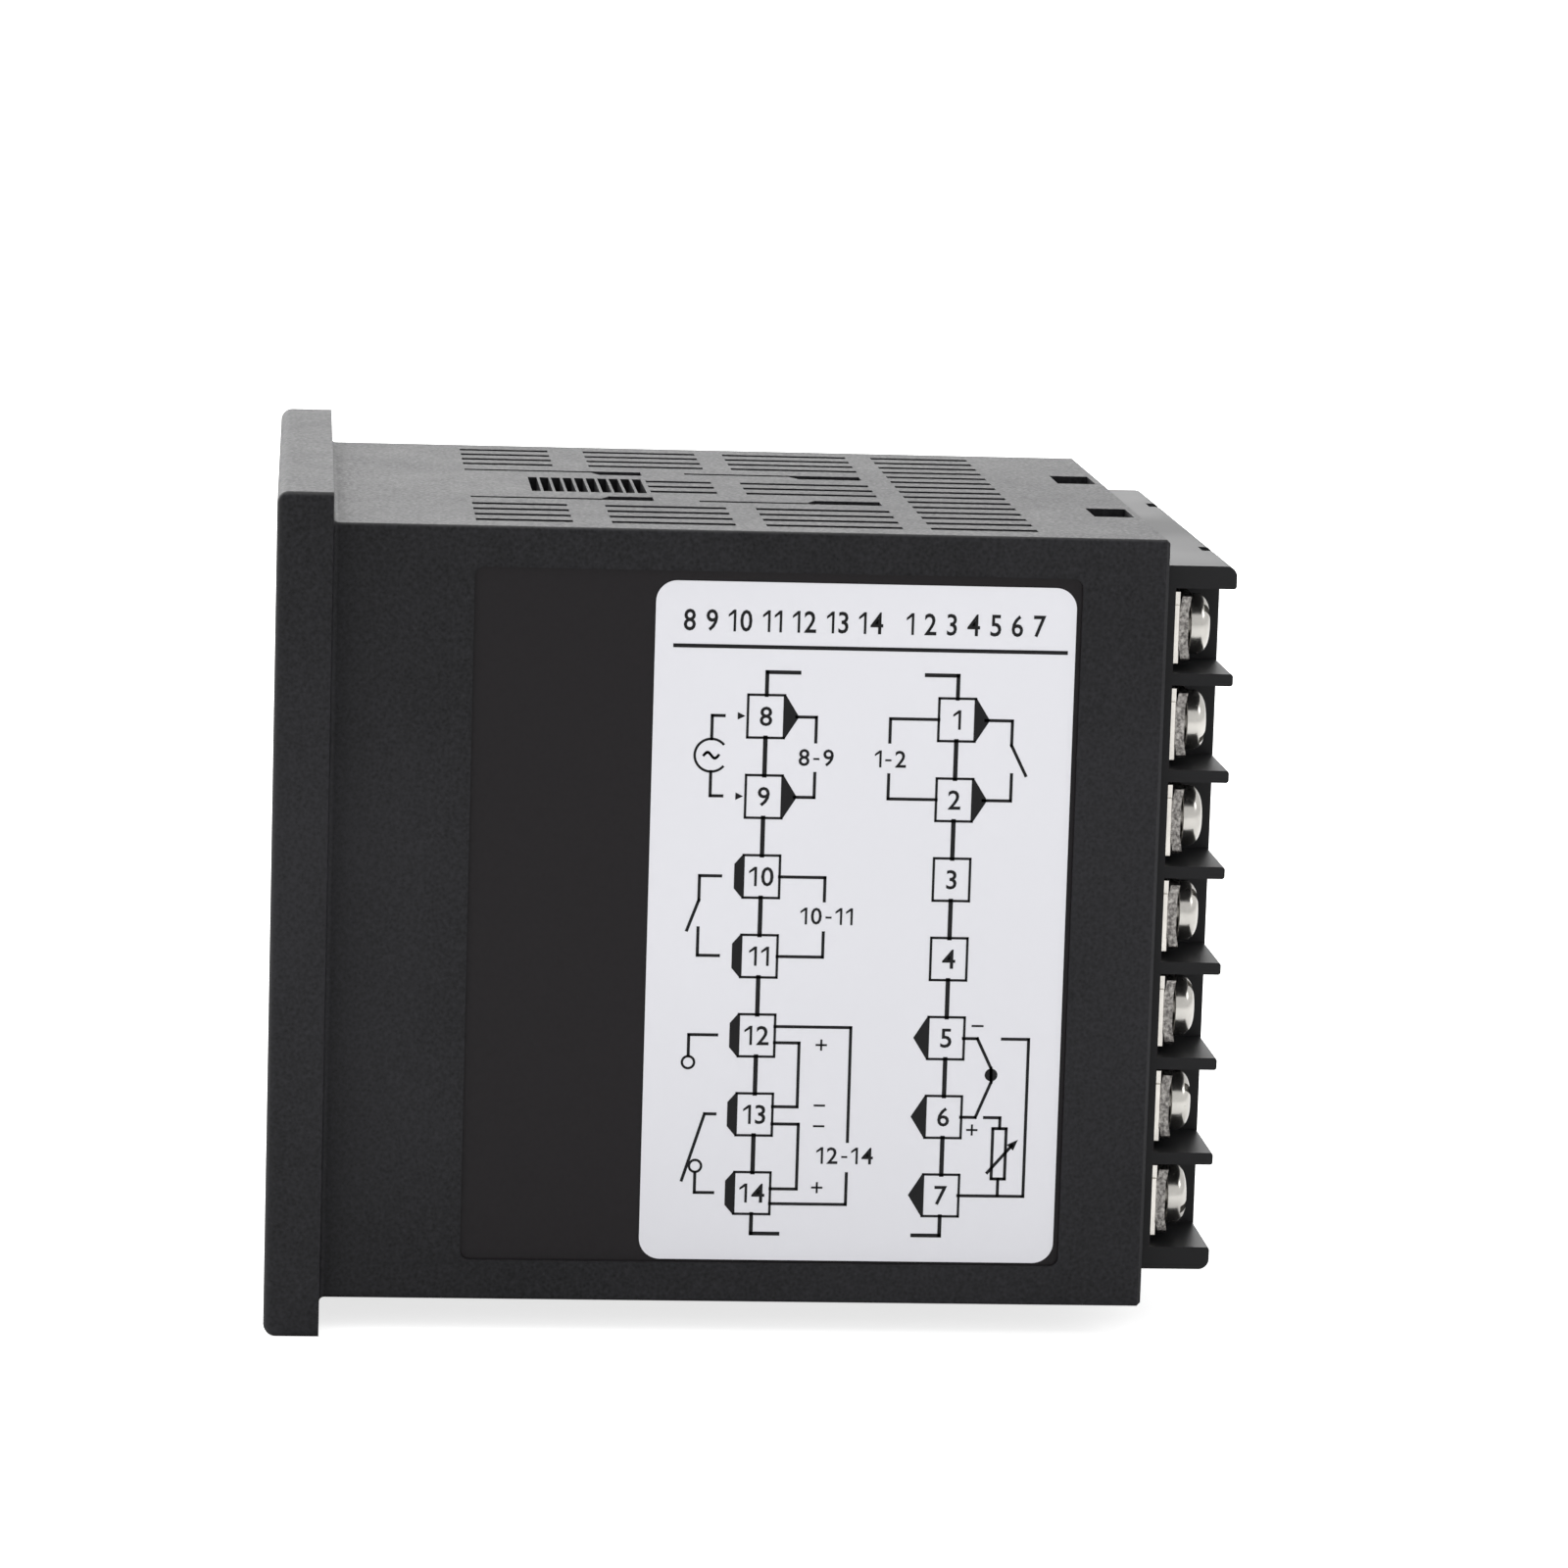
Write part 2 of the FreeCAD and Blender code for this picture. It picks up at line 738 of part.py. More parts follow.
def make_vents(body):
    """Four bands of slots, each cut through the roof and the floor at once."""
    outermost = "((vent_all_rows - 1)/2)"
    sides = (f"({outermost} - vent_side_rows + 1)", minus(outermost))
    middle = "(-(vent_middle_rows - 1)/2)"
    bands = [
        ("band_one", sides, "band_one_start", "band_one_end", "vent_side_rows"),
        ("band_two", sides, "band_two_start", "band_two_end", "vent_side_rows"),
        ("band_two_middle", (middle,), "band_two_middle", "band_two_end", "vent_middle_rows"),
        ("band_three", sides, "band_three_start", "band_three_end", "vent_side_rows"),
        ("band_three_middle", (middle,), "band_three_start", "band_three_end", "vent_middle_rows"),
        ("band_four", (minus(outermost),), "band_four_start", "band_four_end", "vent_all_rows"),
    ]
    for name, rows, start, end, count in bands:
        slots = [vent_slot(row, start, end) for row in rows]
        cut = pocket(body, name, "Z", "(-case_width/2 - 1)", "(case_width/2 + 1)", *slots)
        repeat(body, f"{name}_rows", cut, "X", "vent_pitch", count)


def make_bracket_slots(body):
    """Two pairs of keyhole slots and the ratchet between them, in the roof and in the floor."""
    front = keyhole("keyhole_front_start", "keyhole_front_step", "keyhole_front_end")
    rear = keyhole("keyhole_rear_start", "keyhole_rear_step", "keyhole_rear_end")
    holes = [front, mirrored(front), rear, mirrored(rear)]
    pocket(body, "keyholes", "Z", "(-case_width/2 - 1)", "(case_width/2 + 1)", *holes)
    cell = pocket(body, "ratchet", "X", *span("0", "ratchet_width"), ratchet_cell(1), ratchet_cell(-1))
    repeat(body, "ratchet_cells", cell, "Y", "ratchet_pitch", "ratchet_cells")


def make_hook_windows(body):
    """Windows through the roof and the floor for the rear block's hooks, with a ramp before each."""
    middle = f"({HOOK_START} + {HOOK_END})/2"
    window = centred("hook_reach", middle, "hook_window", "hook_length")
    pocket(body, "hook_windows", "Z", "(-case_width/2 - 1)", "(case_width/2 + 1)", window, mirrored(window))
    low = "(hook_reach - hook_window/2)"
    high = "(hook_reach + hook_window/2)"
    ramp = pocket(body, "hook_ramps", "X", low, high, hook_ramp(1), hook_ramp(-1))
    reflect(body, "hook_ramps_left", ramp, "YZ_Plane")


def cell_outlines():
    """The first cell of each column, seen from the rear."""
    right = rectangle(COLUMN_INNER, f"({BLOCK_WIDTH}/2 + 1)", *span(FIRST_CELL, "cell_pitch - barrier"))
    return right, mirrored(right)


def make_terminal_base():
    """The rear plate that closes the case, with its block of terminal cells and its snap hooks."""
    body = new_body("terminal_base")
    pad(body, "plate", "Y", BASE_INNER, BASE_REAR, square("case_width - 2*case_wall - 2*base_gap"))
    outline = centred("0", "0", BLOCK_WIDTH, f"2*{BLOCK_HALF_HEIGHT}")
    pad(body, "block", "Y", BASE_REAR, BLOCK_REAR, outline)
    rear = value(BLOCK_REAR)
    top = value(BLOCK_HALF_HEIGHT)
    soften(
        body,
        "block_edges",
        "Fillet",
        "block_round",
        lambda box: runs_along(box, "X") and near(box.YMin, rear) and near(abs(box.ZMin), top),
    )
    opened = pocket(body, "cells", "Y", CELL_FLOOR, f"({BLOCK_REAR} + 1)", *cell_outlines())
    repeat(body, "cell_rows", opened, "Z", "cell_pitch", "cells_per_column")
    inner = value(COLUMN_INNER)
    soften(
        body,
        "barrier_tips",
        "Fillet",
        "barrier_round",
        lambda box: runs_along(box, "X") and near(box.YMin, rear)
        and min(abs(box.XMin), abs(box.XMax)) > inner - 0.1
        and abs(box.ZMin) < top - value("end_wall") + 0.01,
    )
    well = pocket(
        body,
        "screw_wells",
        "Y",
        f"({BASE_INNER} + well_floor)",
        f"({CELL_FLOOR} + 0.1)",
        circle(SCREW_REACH, FIRST_CELL, "well_radius"),
        circle(f"(-{SCREW_REACH})", FIRST_CELL, "well_radius"),
    )
    repeat(body, "screw_well_rows", well, "Z", "cell_pitch", "cells_per_column")
    across = (f"({LEG_INNER} - tongue_gap)", f"({TONGUE_REACH} + tongue_gap)")
    slit = rectangle(*across, *span(FIRST_CELL, "tongue_width + 2*tongue_gap"))
    through = (f"({BASE_INNER} - 1)", f"({CELL_FLOOR} + 0.1)")
    cut = pocket(body, "tongue_slits", "Y", *through, slit, mirrored(slit))
    repeat(body, "tongue_slit_rows", cut, "Z", "cell_pitch", "cells_per_column")
    make_base_backing(body)
    make_base_hooks(body)
    return body


def make_base_backing(body):
    """The walls inside the case that the contact legs stand in front of."""
    low = f"({TONGUE_REACH} + backing_gap)"
    high = f"({TONGUE_REACH} + backing_gap + backing_wall)"
    wall = rectangle(low, high, *span("0", BACKING_HEIGHT))
    start = f"({BASE_INNER} - backing_length)"
    pad(body, "backing_walls", "Y", start, f"({BASE_INNER} + 0.5)", wall, mirrored(wall))


def make_base_hooks(body):
    """The four hooks in the case's windows, and a small notch in the roof and floor of the block."""
    plate_edge = f"({HALF_CAVITY} - base_gap - 0.5)"
    tip = f"({HALF_CAVITY} + hook_rise)"
    low = "(hook_reach - hook_window/2 + hook_gap)"
    high = "(hook_reach + hook_window/2 - hook_gap)"
    outlines = []
    for bottom, top in ((plate_edge, tip), (minus(tip), minus(plate_edge))):
        outlines.append(rectangle(low, high, bottom, top))
        outlines.append(mirrored(rectangle(low, high, bottom, top)))
    pad(body, "hooks", "Y", f"({HOOK_START} + hook_gap)", f"({HOOK_END} - hook_gap)", *outlines)
    outlines = []
    for bottom, top in (
        (f"{BLOCK_HALF_HEIGHT} - notch_depth", f"{BLOCK_HALF_HEIGHT} + 1"),
        (minus(f"{BLOCK_HALF_HEIGHT} + 1"), minus(f"{BLOCK_HALF_HEIGHT} - notch_depth")),
    ):
        notch = rectangle(f"{NOTCH_REACH} - notch_width/2", f"{NOTCH_REACH} + notch_width/2", bottom, top)
        outlines += [notch, mirrored(notch)]
    pocket(body, "notches", "Y", f"({BLOCK_REAR} - notch_length)", f"({BLOCK_REAR} + 1)", *outlines)


def spread_over_cells(body):
    """Repeats a piece in every cell: up the right column, then mirrored to the left one."""
    repeat(body, "column", None, "Z", "cell_pitch", "cells_per_column")
    reflect(body, "both_columns", None, "YZ_Plane")


def make_contacts():
    """The nickel-plated contact of each cell: a plate with shoulders and a tongue folded inwards."""
    body = new_body("terminal_contacts")
    inner = f"({COLUMN_INNER} + contact_inset)"
    plate = rectangle(inner, SHOULDER_REACH, *span(FIRST_CELL, "contact_height"))
    pad(body, "plate", "Y", CELL_FLOOR, CONTACT_REAR, plate)
    bend = [
        (f"({inner} + 1)", CELL_FLOOR),
        (LEG_INNER, CELL_FLOOR),
        (LEG_INNER, f"({BASE_INNER} - leg_reach)"),
        (TONGUE_REACH, f"({BASE_INNER} - leg_reach)"),
        (TONGUE_REACH, CONTACT_REAR),
        (f"({inner} + 1)", CONTACT_REAR),
    ]
    pad(body, "tongue", "Z", *span(FIRST_CELL, "tongue_width"), bend)
    reach = value(TONGUE_REACH)
    rear = value(CONTACT_REAR)
    soften(
        body,
        "fold",
        "Fillet",
        "tongue_round",
        lambda box: runs_along(box, "Z") and near(box.XMin, reach) and near(box.YMin, rear),
    )
    hole = circle(SCREW_REACH, FIRST_CELL, "screw_radius + screw_gap")
    pocket(body, "hole", "Y", f"({CELL_FLOOR} - 0.1)", f"({CONTACT_REAR} + 0.1)", hole)
    spread_over_cells(body)
    return body


def make_washers():
    """The square saddle washer of each screw, whose upper and lower ends are bent up."""
    body = new_body("clamp_washers")
    flat = "(washer_flat/2)"
    end = "(washer_size/2)"
    profile = [
        (CONTACT_REAR, f"{FIRST_CELL} - {flat}"),
        (CONTACT_REAR, f"{FIRST_CELL} + {flat}"),
        (f"({CONTACT_REAR} + washer_bow)", f"{FIRST_CELL} + {end}"),
        (f"({CONTACT_REAR} + washer_bow + washer_thickness)", f"{FIRST_CELL} + {end}"),
        (f"({CONTACT_REAR} + washer_thickness)", f"{FIRST_CELL} + {flat}"),
        (f"({CONTACT_REAR} + washer_thickness)", f"{FIRST_CELL} - {flat}"),
        (f"({CONTACT_REAR} + washer_bow + washer_thickness)", f"{FIRST_CELL} - {end}"),
        (f"({CONTACT_REAR} + washer_bow)", f"{FIRST_CELL} - {end}"),
    ]
    pad(body, "plate", "X", *span(SCREW_REACH, "washer_size"), profile)
    hole = circle(SCREW_REACH, FIRST_CELL, "screw_radius + screw_gap")
    pocket(body, "hole", "Y", f"({CONTACT_REAR} - 0.1)", f"({SCREW_SEAT} + 0.1)", hole)
    spread_over_cells(body)
    return body


def make_terminal_screws():
    """The pan head screws, with a slot and a cross recess."""
    body = new_body("terminal_screws")
    head_rear = f"({SCREW_SEAT} + head_height)"
    pad(body, "head", "Y", SCREW_SEAT, head_rear, circle(SCREW_REACH, FIRST_CELL, "head_radius"))
    rear = value(head_rear)
    soften(body, "dome", "Fillet", "head_round", lambda box: lies_at(box, "Y", rear))
    tip = f"({SCREW_SEAT} - screw_length)"
    pad(body, "shank", "Y", tip, f"({SCREW_SEAT} + 0.2)", circle(SCREW_REACH, FIRST_CELL, "screw_radius"))
    slot = centred(SCREW_REACH, FIRST_CELL, "2*head_radius + 1", "slot_width")
    pocket(body, "slot", "Y", f"({head_rear} - slot_depth)", f"({head_rear} + 0.1)", slot)
    cross = [
        centred(SCREW_REACH, FIRST_CELL, "cross_length", "slot_width"),
        centred(SCREW_REACH, FIRST_CELL, "slot_width", "cross_length"),
    ]
    pocket(body, "cross_bar", "Y", f"({head_rear} - cross_depth)", f"({head_rear} + 0.1)", cross[0])
    pocket(body, "cross_post", "Y", f"({head_rear} - cross_depth)", f"({head_rear} + 0.1)", cross[1])
    spread_over_cells(body)
    return body


def make_wiring_label():
    """The printed label in the recess of the right side wall."""
    body = new_body("wiring_label")
    floor = "(case_width/2 - recess_depth)"
    middle = "(case_length - recess_margin - label_margin - label_length/2)"
    outline = centred(middle, "(-label_drop)", "label_length", LABEL_HEIGHT)
    pad(body, "sheet", "X", floor, f"({floor} + label_thickness)", outline)
    soften(body, "corners", "Fillet", "label_corner", lambda box: runs_along(box, "X"))
    return body


# ---------------------------------------------------------------- the front of the chassis


def key_places():
    """The middle of each of the four keys along X, with its name."""
    names = ("set", "shift", "down", "up")
    return [(name, f"({index - 1.5}*key_pitch)") for index, name in enumerate(names)]


def boss_circles(radius):
    return [
        circle(f"({side}*{BOSS_REACH})", f"({level}*{BOSS_RISE})", radius)
        for side in (-1, 1)
        for level in (-1, 1)
    ]


def window_outline(margin):
    """The display window's opening, grown by a margin on each side."""
    half = f"(window_width/2 + {margin})"
    return rectangle(f"-{half}", half, f"(-window_bottom - ({margin}))", f"(window_top + {margin})")


def make_fascia():
    """The front moulding of the chassis, with its skirt, key holes, window and four screw bosses."""
    body = new_body("fascia")
    pad(body, "plate", "Y", FASCIA_FRONT, LEDGE, square(f"{FASCIA_POCKET} - 2*fascia_gap"))
    front = value(FASCIA_FRONT)
    soften(body, "front_edge", "Fillet", "fascia_round", lambda box: lies_at(box, "Y", front))
    outside = square(f"2*({HALF_CAVITY} - skirt_gap)")
    pad(body, "skirt", "Y", f"({LEDGE} - 0.2)", f"({LEDGE} + skirt_length)", outside)
    inside = square(f"2*({HALF_CAVITY} - skirt_gap - skirt_wall)")
    pocket(body, "skirt_inside", "Y", LEDGE, f"({LEDGE} + skirt_length + 0.1)", inside)
    pad(body, "bosses", "Y", f"({LEDGE} - 0.2)", DISPLAY_BOARD_FRONT, *boss_circles("boss_radius"))
    drilled = f"({DISPLAY_BOARD_FRONT} - pilot_depth)"
    pocket(body, "pilots", "Y", drilled, f"({DISPLAY_BOARD_FRONT} + 0.1)", *boss_circles("boss_pilot"))
    lens_floor = f"({FASCIA_FRONT} + lens_thickness + lens_inset)"
    pocket(body, "lens_seat", "Y", f"({FASCIA_FRONT} - 0.1)", lens_floor, window_outline("lens_ledge"))
    soften(
        body,
        "lens_seat_corners",
        "Fillet",
        "lens_corner",
        lambda box: runs_along(box, "Y") and near(box.YMin, front) and near(box.YMax, value(lens_floor)),
    )
    pocket(body, "window", "Y", f"({FASCIA_FRONT} - 0.1)", f"({LEDGE} + 0.1)", window_outline("0"))
    hole = ("key_width + 2*key_gap", "key_height + 2*key_gap")
    holes = [centred(place, "(-key_drop)", *hole) for _, place in key_places()]
    pocket(body, "key_holes", "Y", f"({FASCIA_FRONT} - 0.1)", f"({LEDGE} + 0.1)", *holes)
    ledge = value(LEDGE)
    bottom = value("-key_drop - key_height/2 - key_gap")
    top = value("-key_drop + key_height/2 + key_gap")
    soften(
        body,
        "key_hole_corners",
        "Fillet",
        "key_corner + key_gap",
        lambda box: runs_along(box, "Y") and near(box.YMin, front) and near(box.YMax, ledge)
        and (near(box.ZMin, bottom) or near(box.ZMin, top)),
    )
    edge = f"({FASCIA_POCKET}/2 - fascia_gap)"
    notch = rectangle(*span("0", "pull_notch_width"), f"(-{edge} - 1)", f"(pull_notch_height - {edge})")
    pocket(body, "pull_notch", "Y", f"({FASCIA_FRONT} - 0.1)", f"({FASCIA_FRONT} + pull_notch_depth)", notch)
    return body


def make_display_window():
    """The smoked window in front of the digits, seated on a ledge in the fascia."""
    body = new_body("display_window")
    back = f"({FASCIA_FRONT} + lens_thickness + lens_inset)"
    pad(body, "pane", "Y", f"({FASCIA_FRONT} + lens_inset)", back, window_outline("lens_ledge - lens_gap"))
    soften(body, "corners", "Fillet", "lens_corner - lens_gap", lambda box: runs_along(box, "Y"))
    return body


def make_key(name, place):
    """A key cap with the collar that holds it behind the fascia and the stem that meets the switch."""
    body = new_body(f"key_{name}")
    front = f"({FASCIA_FRONT} - key_proud)"
    collar = f"({LEDGE} + key_gap)"
    collar_rear = f"({LEDGE} + key_gap + key_collar_thickness)"
    pad(body, "cap", "Y", front, collar, centred(place, "(-key_drop)", "key_width", "key_height"))
    soften(body, "corners", "Fillet", "key_corner", lambda box: runs_along(box, "Y"))
    level = value(front)
    soften(body, "front_edge", "Fillet", "fascia_round", lambda box: lies_at(box, "Y", level))
    wide = centred(place, "(-key_drop)", "key_width + 2*key_collar", "key_height + 2*key_collar")
    pad(body, "collar", "Y", collar, collar_rear, wide)
    pad(body, "stem", "Y", f"({collar_rear} - 0.2)", PLUNGER_FRONT, circle(place, "(-key_drop)", "key_stem"))
    return body


def make_plunger(name, place):
    """The plunger of one tact switch, which the key's stem pushes in."""
    length = "plunger_stand + plunger_sunk"
    return keep(
        rod(f"plunger_{name}", "Y", (place, PLUNGER_FRONT, "(-key_drop)"), length, "plunger_radius"),
        f"plunger_{name}",
    )


def make_tact_switches():
    """The four switch bodies on the display board, each with a bore for its plunger."""
    body = new_body("tact_switches")
    places = [place for _, place in key_places()]
    bodies = [centred(place, "(-key_drop)", "switch_size", "switch_size") for place in places]
    pad(body, "bodies", "Y", SWITCH_FRONT, DISPLAY_BOARD_FRONT, *bodies)
    bores = [circle(place, "(-key_drop)", "switch_bore") for place in places]
    pocket(body, "bores", "Y", f"({SWITCH_FRONT} - 0.1)", f"({SWITCH_FRONT} + switch_bore_depth)", *bores)
    return body


def side_board_slots(gap):
    """Where the tabs of the two side boards pass through the display board."""
    outlines = []
    for level in ("(-tab_reach)", "tab_reach"):
        low = f"({BOARD_INNER} - {gap})"
        high = f"({BOARD_OUTER} + {gap})"
        slot = rectangle(low, high, *span(level, f"tab_height + 2*{gap}"))
        outlines += [slot, mirrored(slot)]
    return outlines


def make_display_board():
    """The circuit board behind the fascia, screwed to its bosses."""
    body = new_body("display_board")
    outline = centred("0", "0", DISPLAY_BOARD_WIDTH, DISPLAY_BOARD_HEIGHT)
    pad(body, "plate", "Y", DISPLAY_BOARD_FRONT, DISPLAY_BOARD_REAR, outline)
    cut = (f"({DISPLAY_BOARD_FRONT} - 0.1)", f"({DISPLAY_BOARD_REAR} + 0.1)")
    pocket(body, "screw_holes", "Y", *cut, *boss_circles("board_hole"))
    pocket(body, "tab_slots", "Y", *cut, *side_board_slots("tab_slot_gap"))
    return body


def make_board_screws():
    """The four screws that hold the display board on the fascia's bosses."""
    screws = []
    for number, (side, level) in enumerate(((-1, -1), (1, -1), (-1, 1), (1, 1)), start=1):
        x = f"({side}*{BOSS_REACH})"
        z = f"({level}*{BOSS_RISE})"
        start = f"({DISPLAY_BOARD_REAR} - board_screw_length)"
        name = f"board_screw_{number}"
        shank = rod(f"{name}_shank", "Y", (x, start, z), "board_screw_length + 0.2", "board_screw_radius")
        top = (x, DISPLAY_BOARD_REAR, z)
        head = rod(f"{name}_head", "Y", top, "board_screw_head_height", "board_screw_head")
        screws.append(joined(name, shank, head))
    return keep(grouped("board_screws", screws), "board_screws")


def make_digits(label, x, z):
    """A seven-segment display module, with a bevel round its face."""
    body = new_body(label)
    face = f"({DISPLAY_BOARD_FRONT} - {label}_depth)"
    outline = centred(x, z, f"{label}_width", f"{label}_height")
    pad(body, "block", "Y", face, DISPLAY_BOARD_FRONT, outline)
    level = value(face)
    soften(body, "bevel", "Chamfer", "digits_bevel", lambda box: lies_at(box, "Y", level))
    return body


def make_lamps():
    """The column of indicator lamps beside the lower digits."""
    body = new_body("indicator_lamps")
    lowest = "(-set_digits_drop - (lamp_count - 1)*lamp_pitch/2)"
    face = f"({DISPLAY_BOARD_FRONT} - lamp_depth)"
    lens = centred("(-lamp_reach)", lowest, "lamp_width", "lamp_height")
    pad(body, "lens", "Y", face, DISPLAY_BOARD_FRONT, lens)
    foot = centred("(-lamp_reach)", lowest, "lamp_width + 2*lamp_flange", "lamp_height + lamp_flange")
    pad(body, "foot", "Y", f"({DISPLAY_BOARD_FRONT} - 1)", DISPLAY_BOARD_FRONT, foot)
    repeat(body, "column", None, "Z", "lamp_pitch", "lamp_count")
    return body


# ---------------------------------------------------------------- the circuit boards of the chassis


def off_board(side, stand, height):
    """Levels along X of something that stands on a side board: side 1 is the power board, -1 the other."""
    near_board = f"({BOARD_INNER} - ({stand}))"
    far = f"({BOARD_INNER} - ({stand}) - ({height}))"
    return (far, near_board) if side > 0 else (minus(near_board), minus(far))


def make_side_board(label, side):
    """A board that stands along the case's side wall, with two tabs through the display board."""
    body = new_body(label)
    low, high = (BOARD_INNER, BOARD_OUTER) if side > 0 else (minus(BOARD_OUTER), minus(BOARD_INNER))
    half = f"({SIDE_BOARD_HEIGHT}/2)"
    outline = [
        (DISPLAY_BOARD_REAR, minus(half)),
        (f"{SIDE_BOARD_END} - side_board_corner", minus(half)),
        (SIDE_BOARD_END, f"side_board_corner - {half}"),
        (SIDE_BOARD_END, f"{half} - side_board_corner"),
        (f"{SIDE_BOARD_END} - side_board_corner", half),
        (DISPLAY_BOARD_REAR, half),
    ]
    pad(body, "plate", "X", low, high, outline)
    through = (f"{DISPLAY_BOARD_FRONT} - tab_proud", f"{DISPLAY_BOARD_REAR} + 0.2")
    tabs = [rectangle(*through, *span(level, "tab_height")) for level in ("(-tab_reach)", "tab_reach")]
    pad(body, "tabs", "X", low, high, *tabs)
    mortise = rectangle(
        f"{SPACER_FRONT} - tenon_gap",
        f"{SPACER_REAR} + tenon_gap",
        *span("0", "tenon_height + 2*tenon_gap"),
    )
    pocket(body, "mortise", "X", f"({low} - 0.1)", f"({high} + 0.1)", mortise)
    return body


def make_spacer():
    """The moulded bar that holds the two side boards apart at the rear, with a tenon in each."""
    body = new_body("board_spacer")
    bar = rectangle(SPACER_FRONT, SPACER_REAR, *span("0", "spacer_height"))
    pad(body, "bar", "X", minus(BOARD_INNER), BOARD_INNER, bar)
    tenon = rectangle(SPACER_FRONT, SPACER_REAR, *span("0", "tenon_height"))
    pad(body, "tenons", "X", minus(BOARD_OUTER), BOARD_OUTER, tenon)
    trough = centred("0", "0", f"2*({BOARD_INNER} - spacer_web)", "spacer_height - 2*spacer_web")
    pocket(body, "trough", "Y", f"({SPACER_FRONT} + spacer_web)", f"({SPACER_REAR} + 0.1)", trough)
    return body


def make_headers():
    """The pin headers in the corners between the display board and the side boards."""
    body = new_body("board_headers")
    low = f"({BOARD_INNER} - header_size)"
    first = "(-header_pins*header_size/2)"
    corner = f"({DISPLAY_BOARD_REAR} + header_size)"
    outline = [
        (low, DISPLAY_BOARD_REAR),
        (BOARD_INNER, DISPLAY_BOARD_REAR),
        (BOARD_INNER, corner),
        (low, corner),
    ]
    pad(body, "bar", "Z", first, f"({first} + header_size)", outline)
    edge = value(low)
    level = value(corner)
    soften(
        body,
        "grooves",
        "Chamfer",
        "header_groove",
        lambda box: lies_at(box, "Y", level) and runs_along(box, "X")
        or lies_at(box, "X", edge) and runs_along(box, "Y"),
    )
    repeat(body, "pins", None, "Z", "header_size", "header_pins")
    reflect(body, "both_boards", None, "YZ_Plane")
    return body


# The rear of the power board carries a row that starts at the board's end: two small capacitors, the
# large one, then the transformer. The rectifier and the heat sink are also placed from the rear.
SMALL_CAN_PITCH = "(2*small_can_radius + small_can_gap)"
SMALL_CAN_Y = f"({SIDE_BOARD_END} - small_can_margin - small_can_radius - {SMALL_CAN_PITCH})"
CAN_Y = f"({SMALL_CAN_Y} - small_can_radius - can_gap - can_radius)"
BRIDGE_Y = f"({SIDE_BOARD_END} - bridge_margin - bridge_length/2)"
REGULATOR_Y = f"({SPACER_FRONT} - sink_gap - sink_fin_depth - sink_plate)"

CORE_X = f"({BOARD_INNER} - core_stand - core_height/2)"
CORE_WINDOW = "(core_height/2 - core_limb - core_leg/2)"
WINDOW_HALF = "(core_length/2 - core_yoke)"
BOBBIN_WIDTH = "(core_leg + 2*bobbin_gap + 2*bobbin_wall)"
BOBBIN_DEPTH = "(core_stack + 2*bobbin_gap + 2*bobbin_wall)"
FLANGE_DEPTH = f"({BOBBIN_DEPTH} + 2*winding_gap + 2*winding_build + bobbin_wall)"
FLANGE_HALF = "(core_height/2 - core_limb - bobbin_gap)"
CORE_Y = f"({CAN_Y} - can_radius - core_gap - {FLANGE_DEPTH}/2)"


def make_core():
    """The laminated iron core: a frame with a middle leg that the coil sits on."""
    body = new_body("transformer_core")
    outline = centred(CORE_X, "core_z", "core_height", "core_length")
    pad(body, "frame", "Y", *span(CORE_Y, "core_stack"), outline)
    offset = f"(core_leg/2 + {CORE_WINDOW}/2)"
    middles = (f"({CORE_X} - {offset})", f"({CORE_X} + {offset})")
    windows = [centred(middle, "core_z", CORE_WINDOW, f"2*{WINDOW_HALF}") for middle in middles]
    pocket(body, "windows", "Y", *span(CORE_Y, "core_stack + 0.2"), *windows)
    return body


def make_bobbin():
    """The coil former: a square tube on the core's middle leg, with two flanges that stand on the board."""
    body = new_body("transformer_bobbin")
    low = f"(core_z - {WINDOW_HALF} + bobbin_gap)"
    high = f"(core_z + {WINDOW_HALF} - bobbin_gap)"
    pad(body, "tube", "Z", low, high, centred(CORE_X, CORE_Y, BOBBIN_WIDTH, BOBBIN_DEPTH))
    plate = centred(CORE_X, CORE_Y, f"2*{FLANGE_HALF}", FLANGE_DEPTH)
    feet = [
        rectangle(
            f"({CORE_X} + {FLANGE_HALF} - 0.5)",
            BOARD_INNER,
            f"({CORE_Y} {sign} {FLANGE_DEPTH}/2 {back} bobbin_foot)",
            f"({CORE_Y} {sign} {FLANGE_DEPTH}/2)",
        )
        for sign, back in (("-", "+"), ("+", "-"))
    ]
    lower = ("lower", low, f"({low} + bobbin_flange)")
    upper = ("upper", f"({high} - bobbin_flange)", high)
    for name, start, end in (lower, upper):
        pad(body, f"{name}_flange", "Z", start, end, plate)
        pad(body, f"{name}_feet", "Z", start, end, *feet)
    bore = centred(CORE_X, CORE_Y, "core_leg + 2*bobbin_gap", "core_stack + 2*bobbin_gap")
    pocket(body, "bore", "Z", f"({low} - 0.1)", f"({high} + 0.1)", bore)
    return body


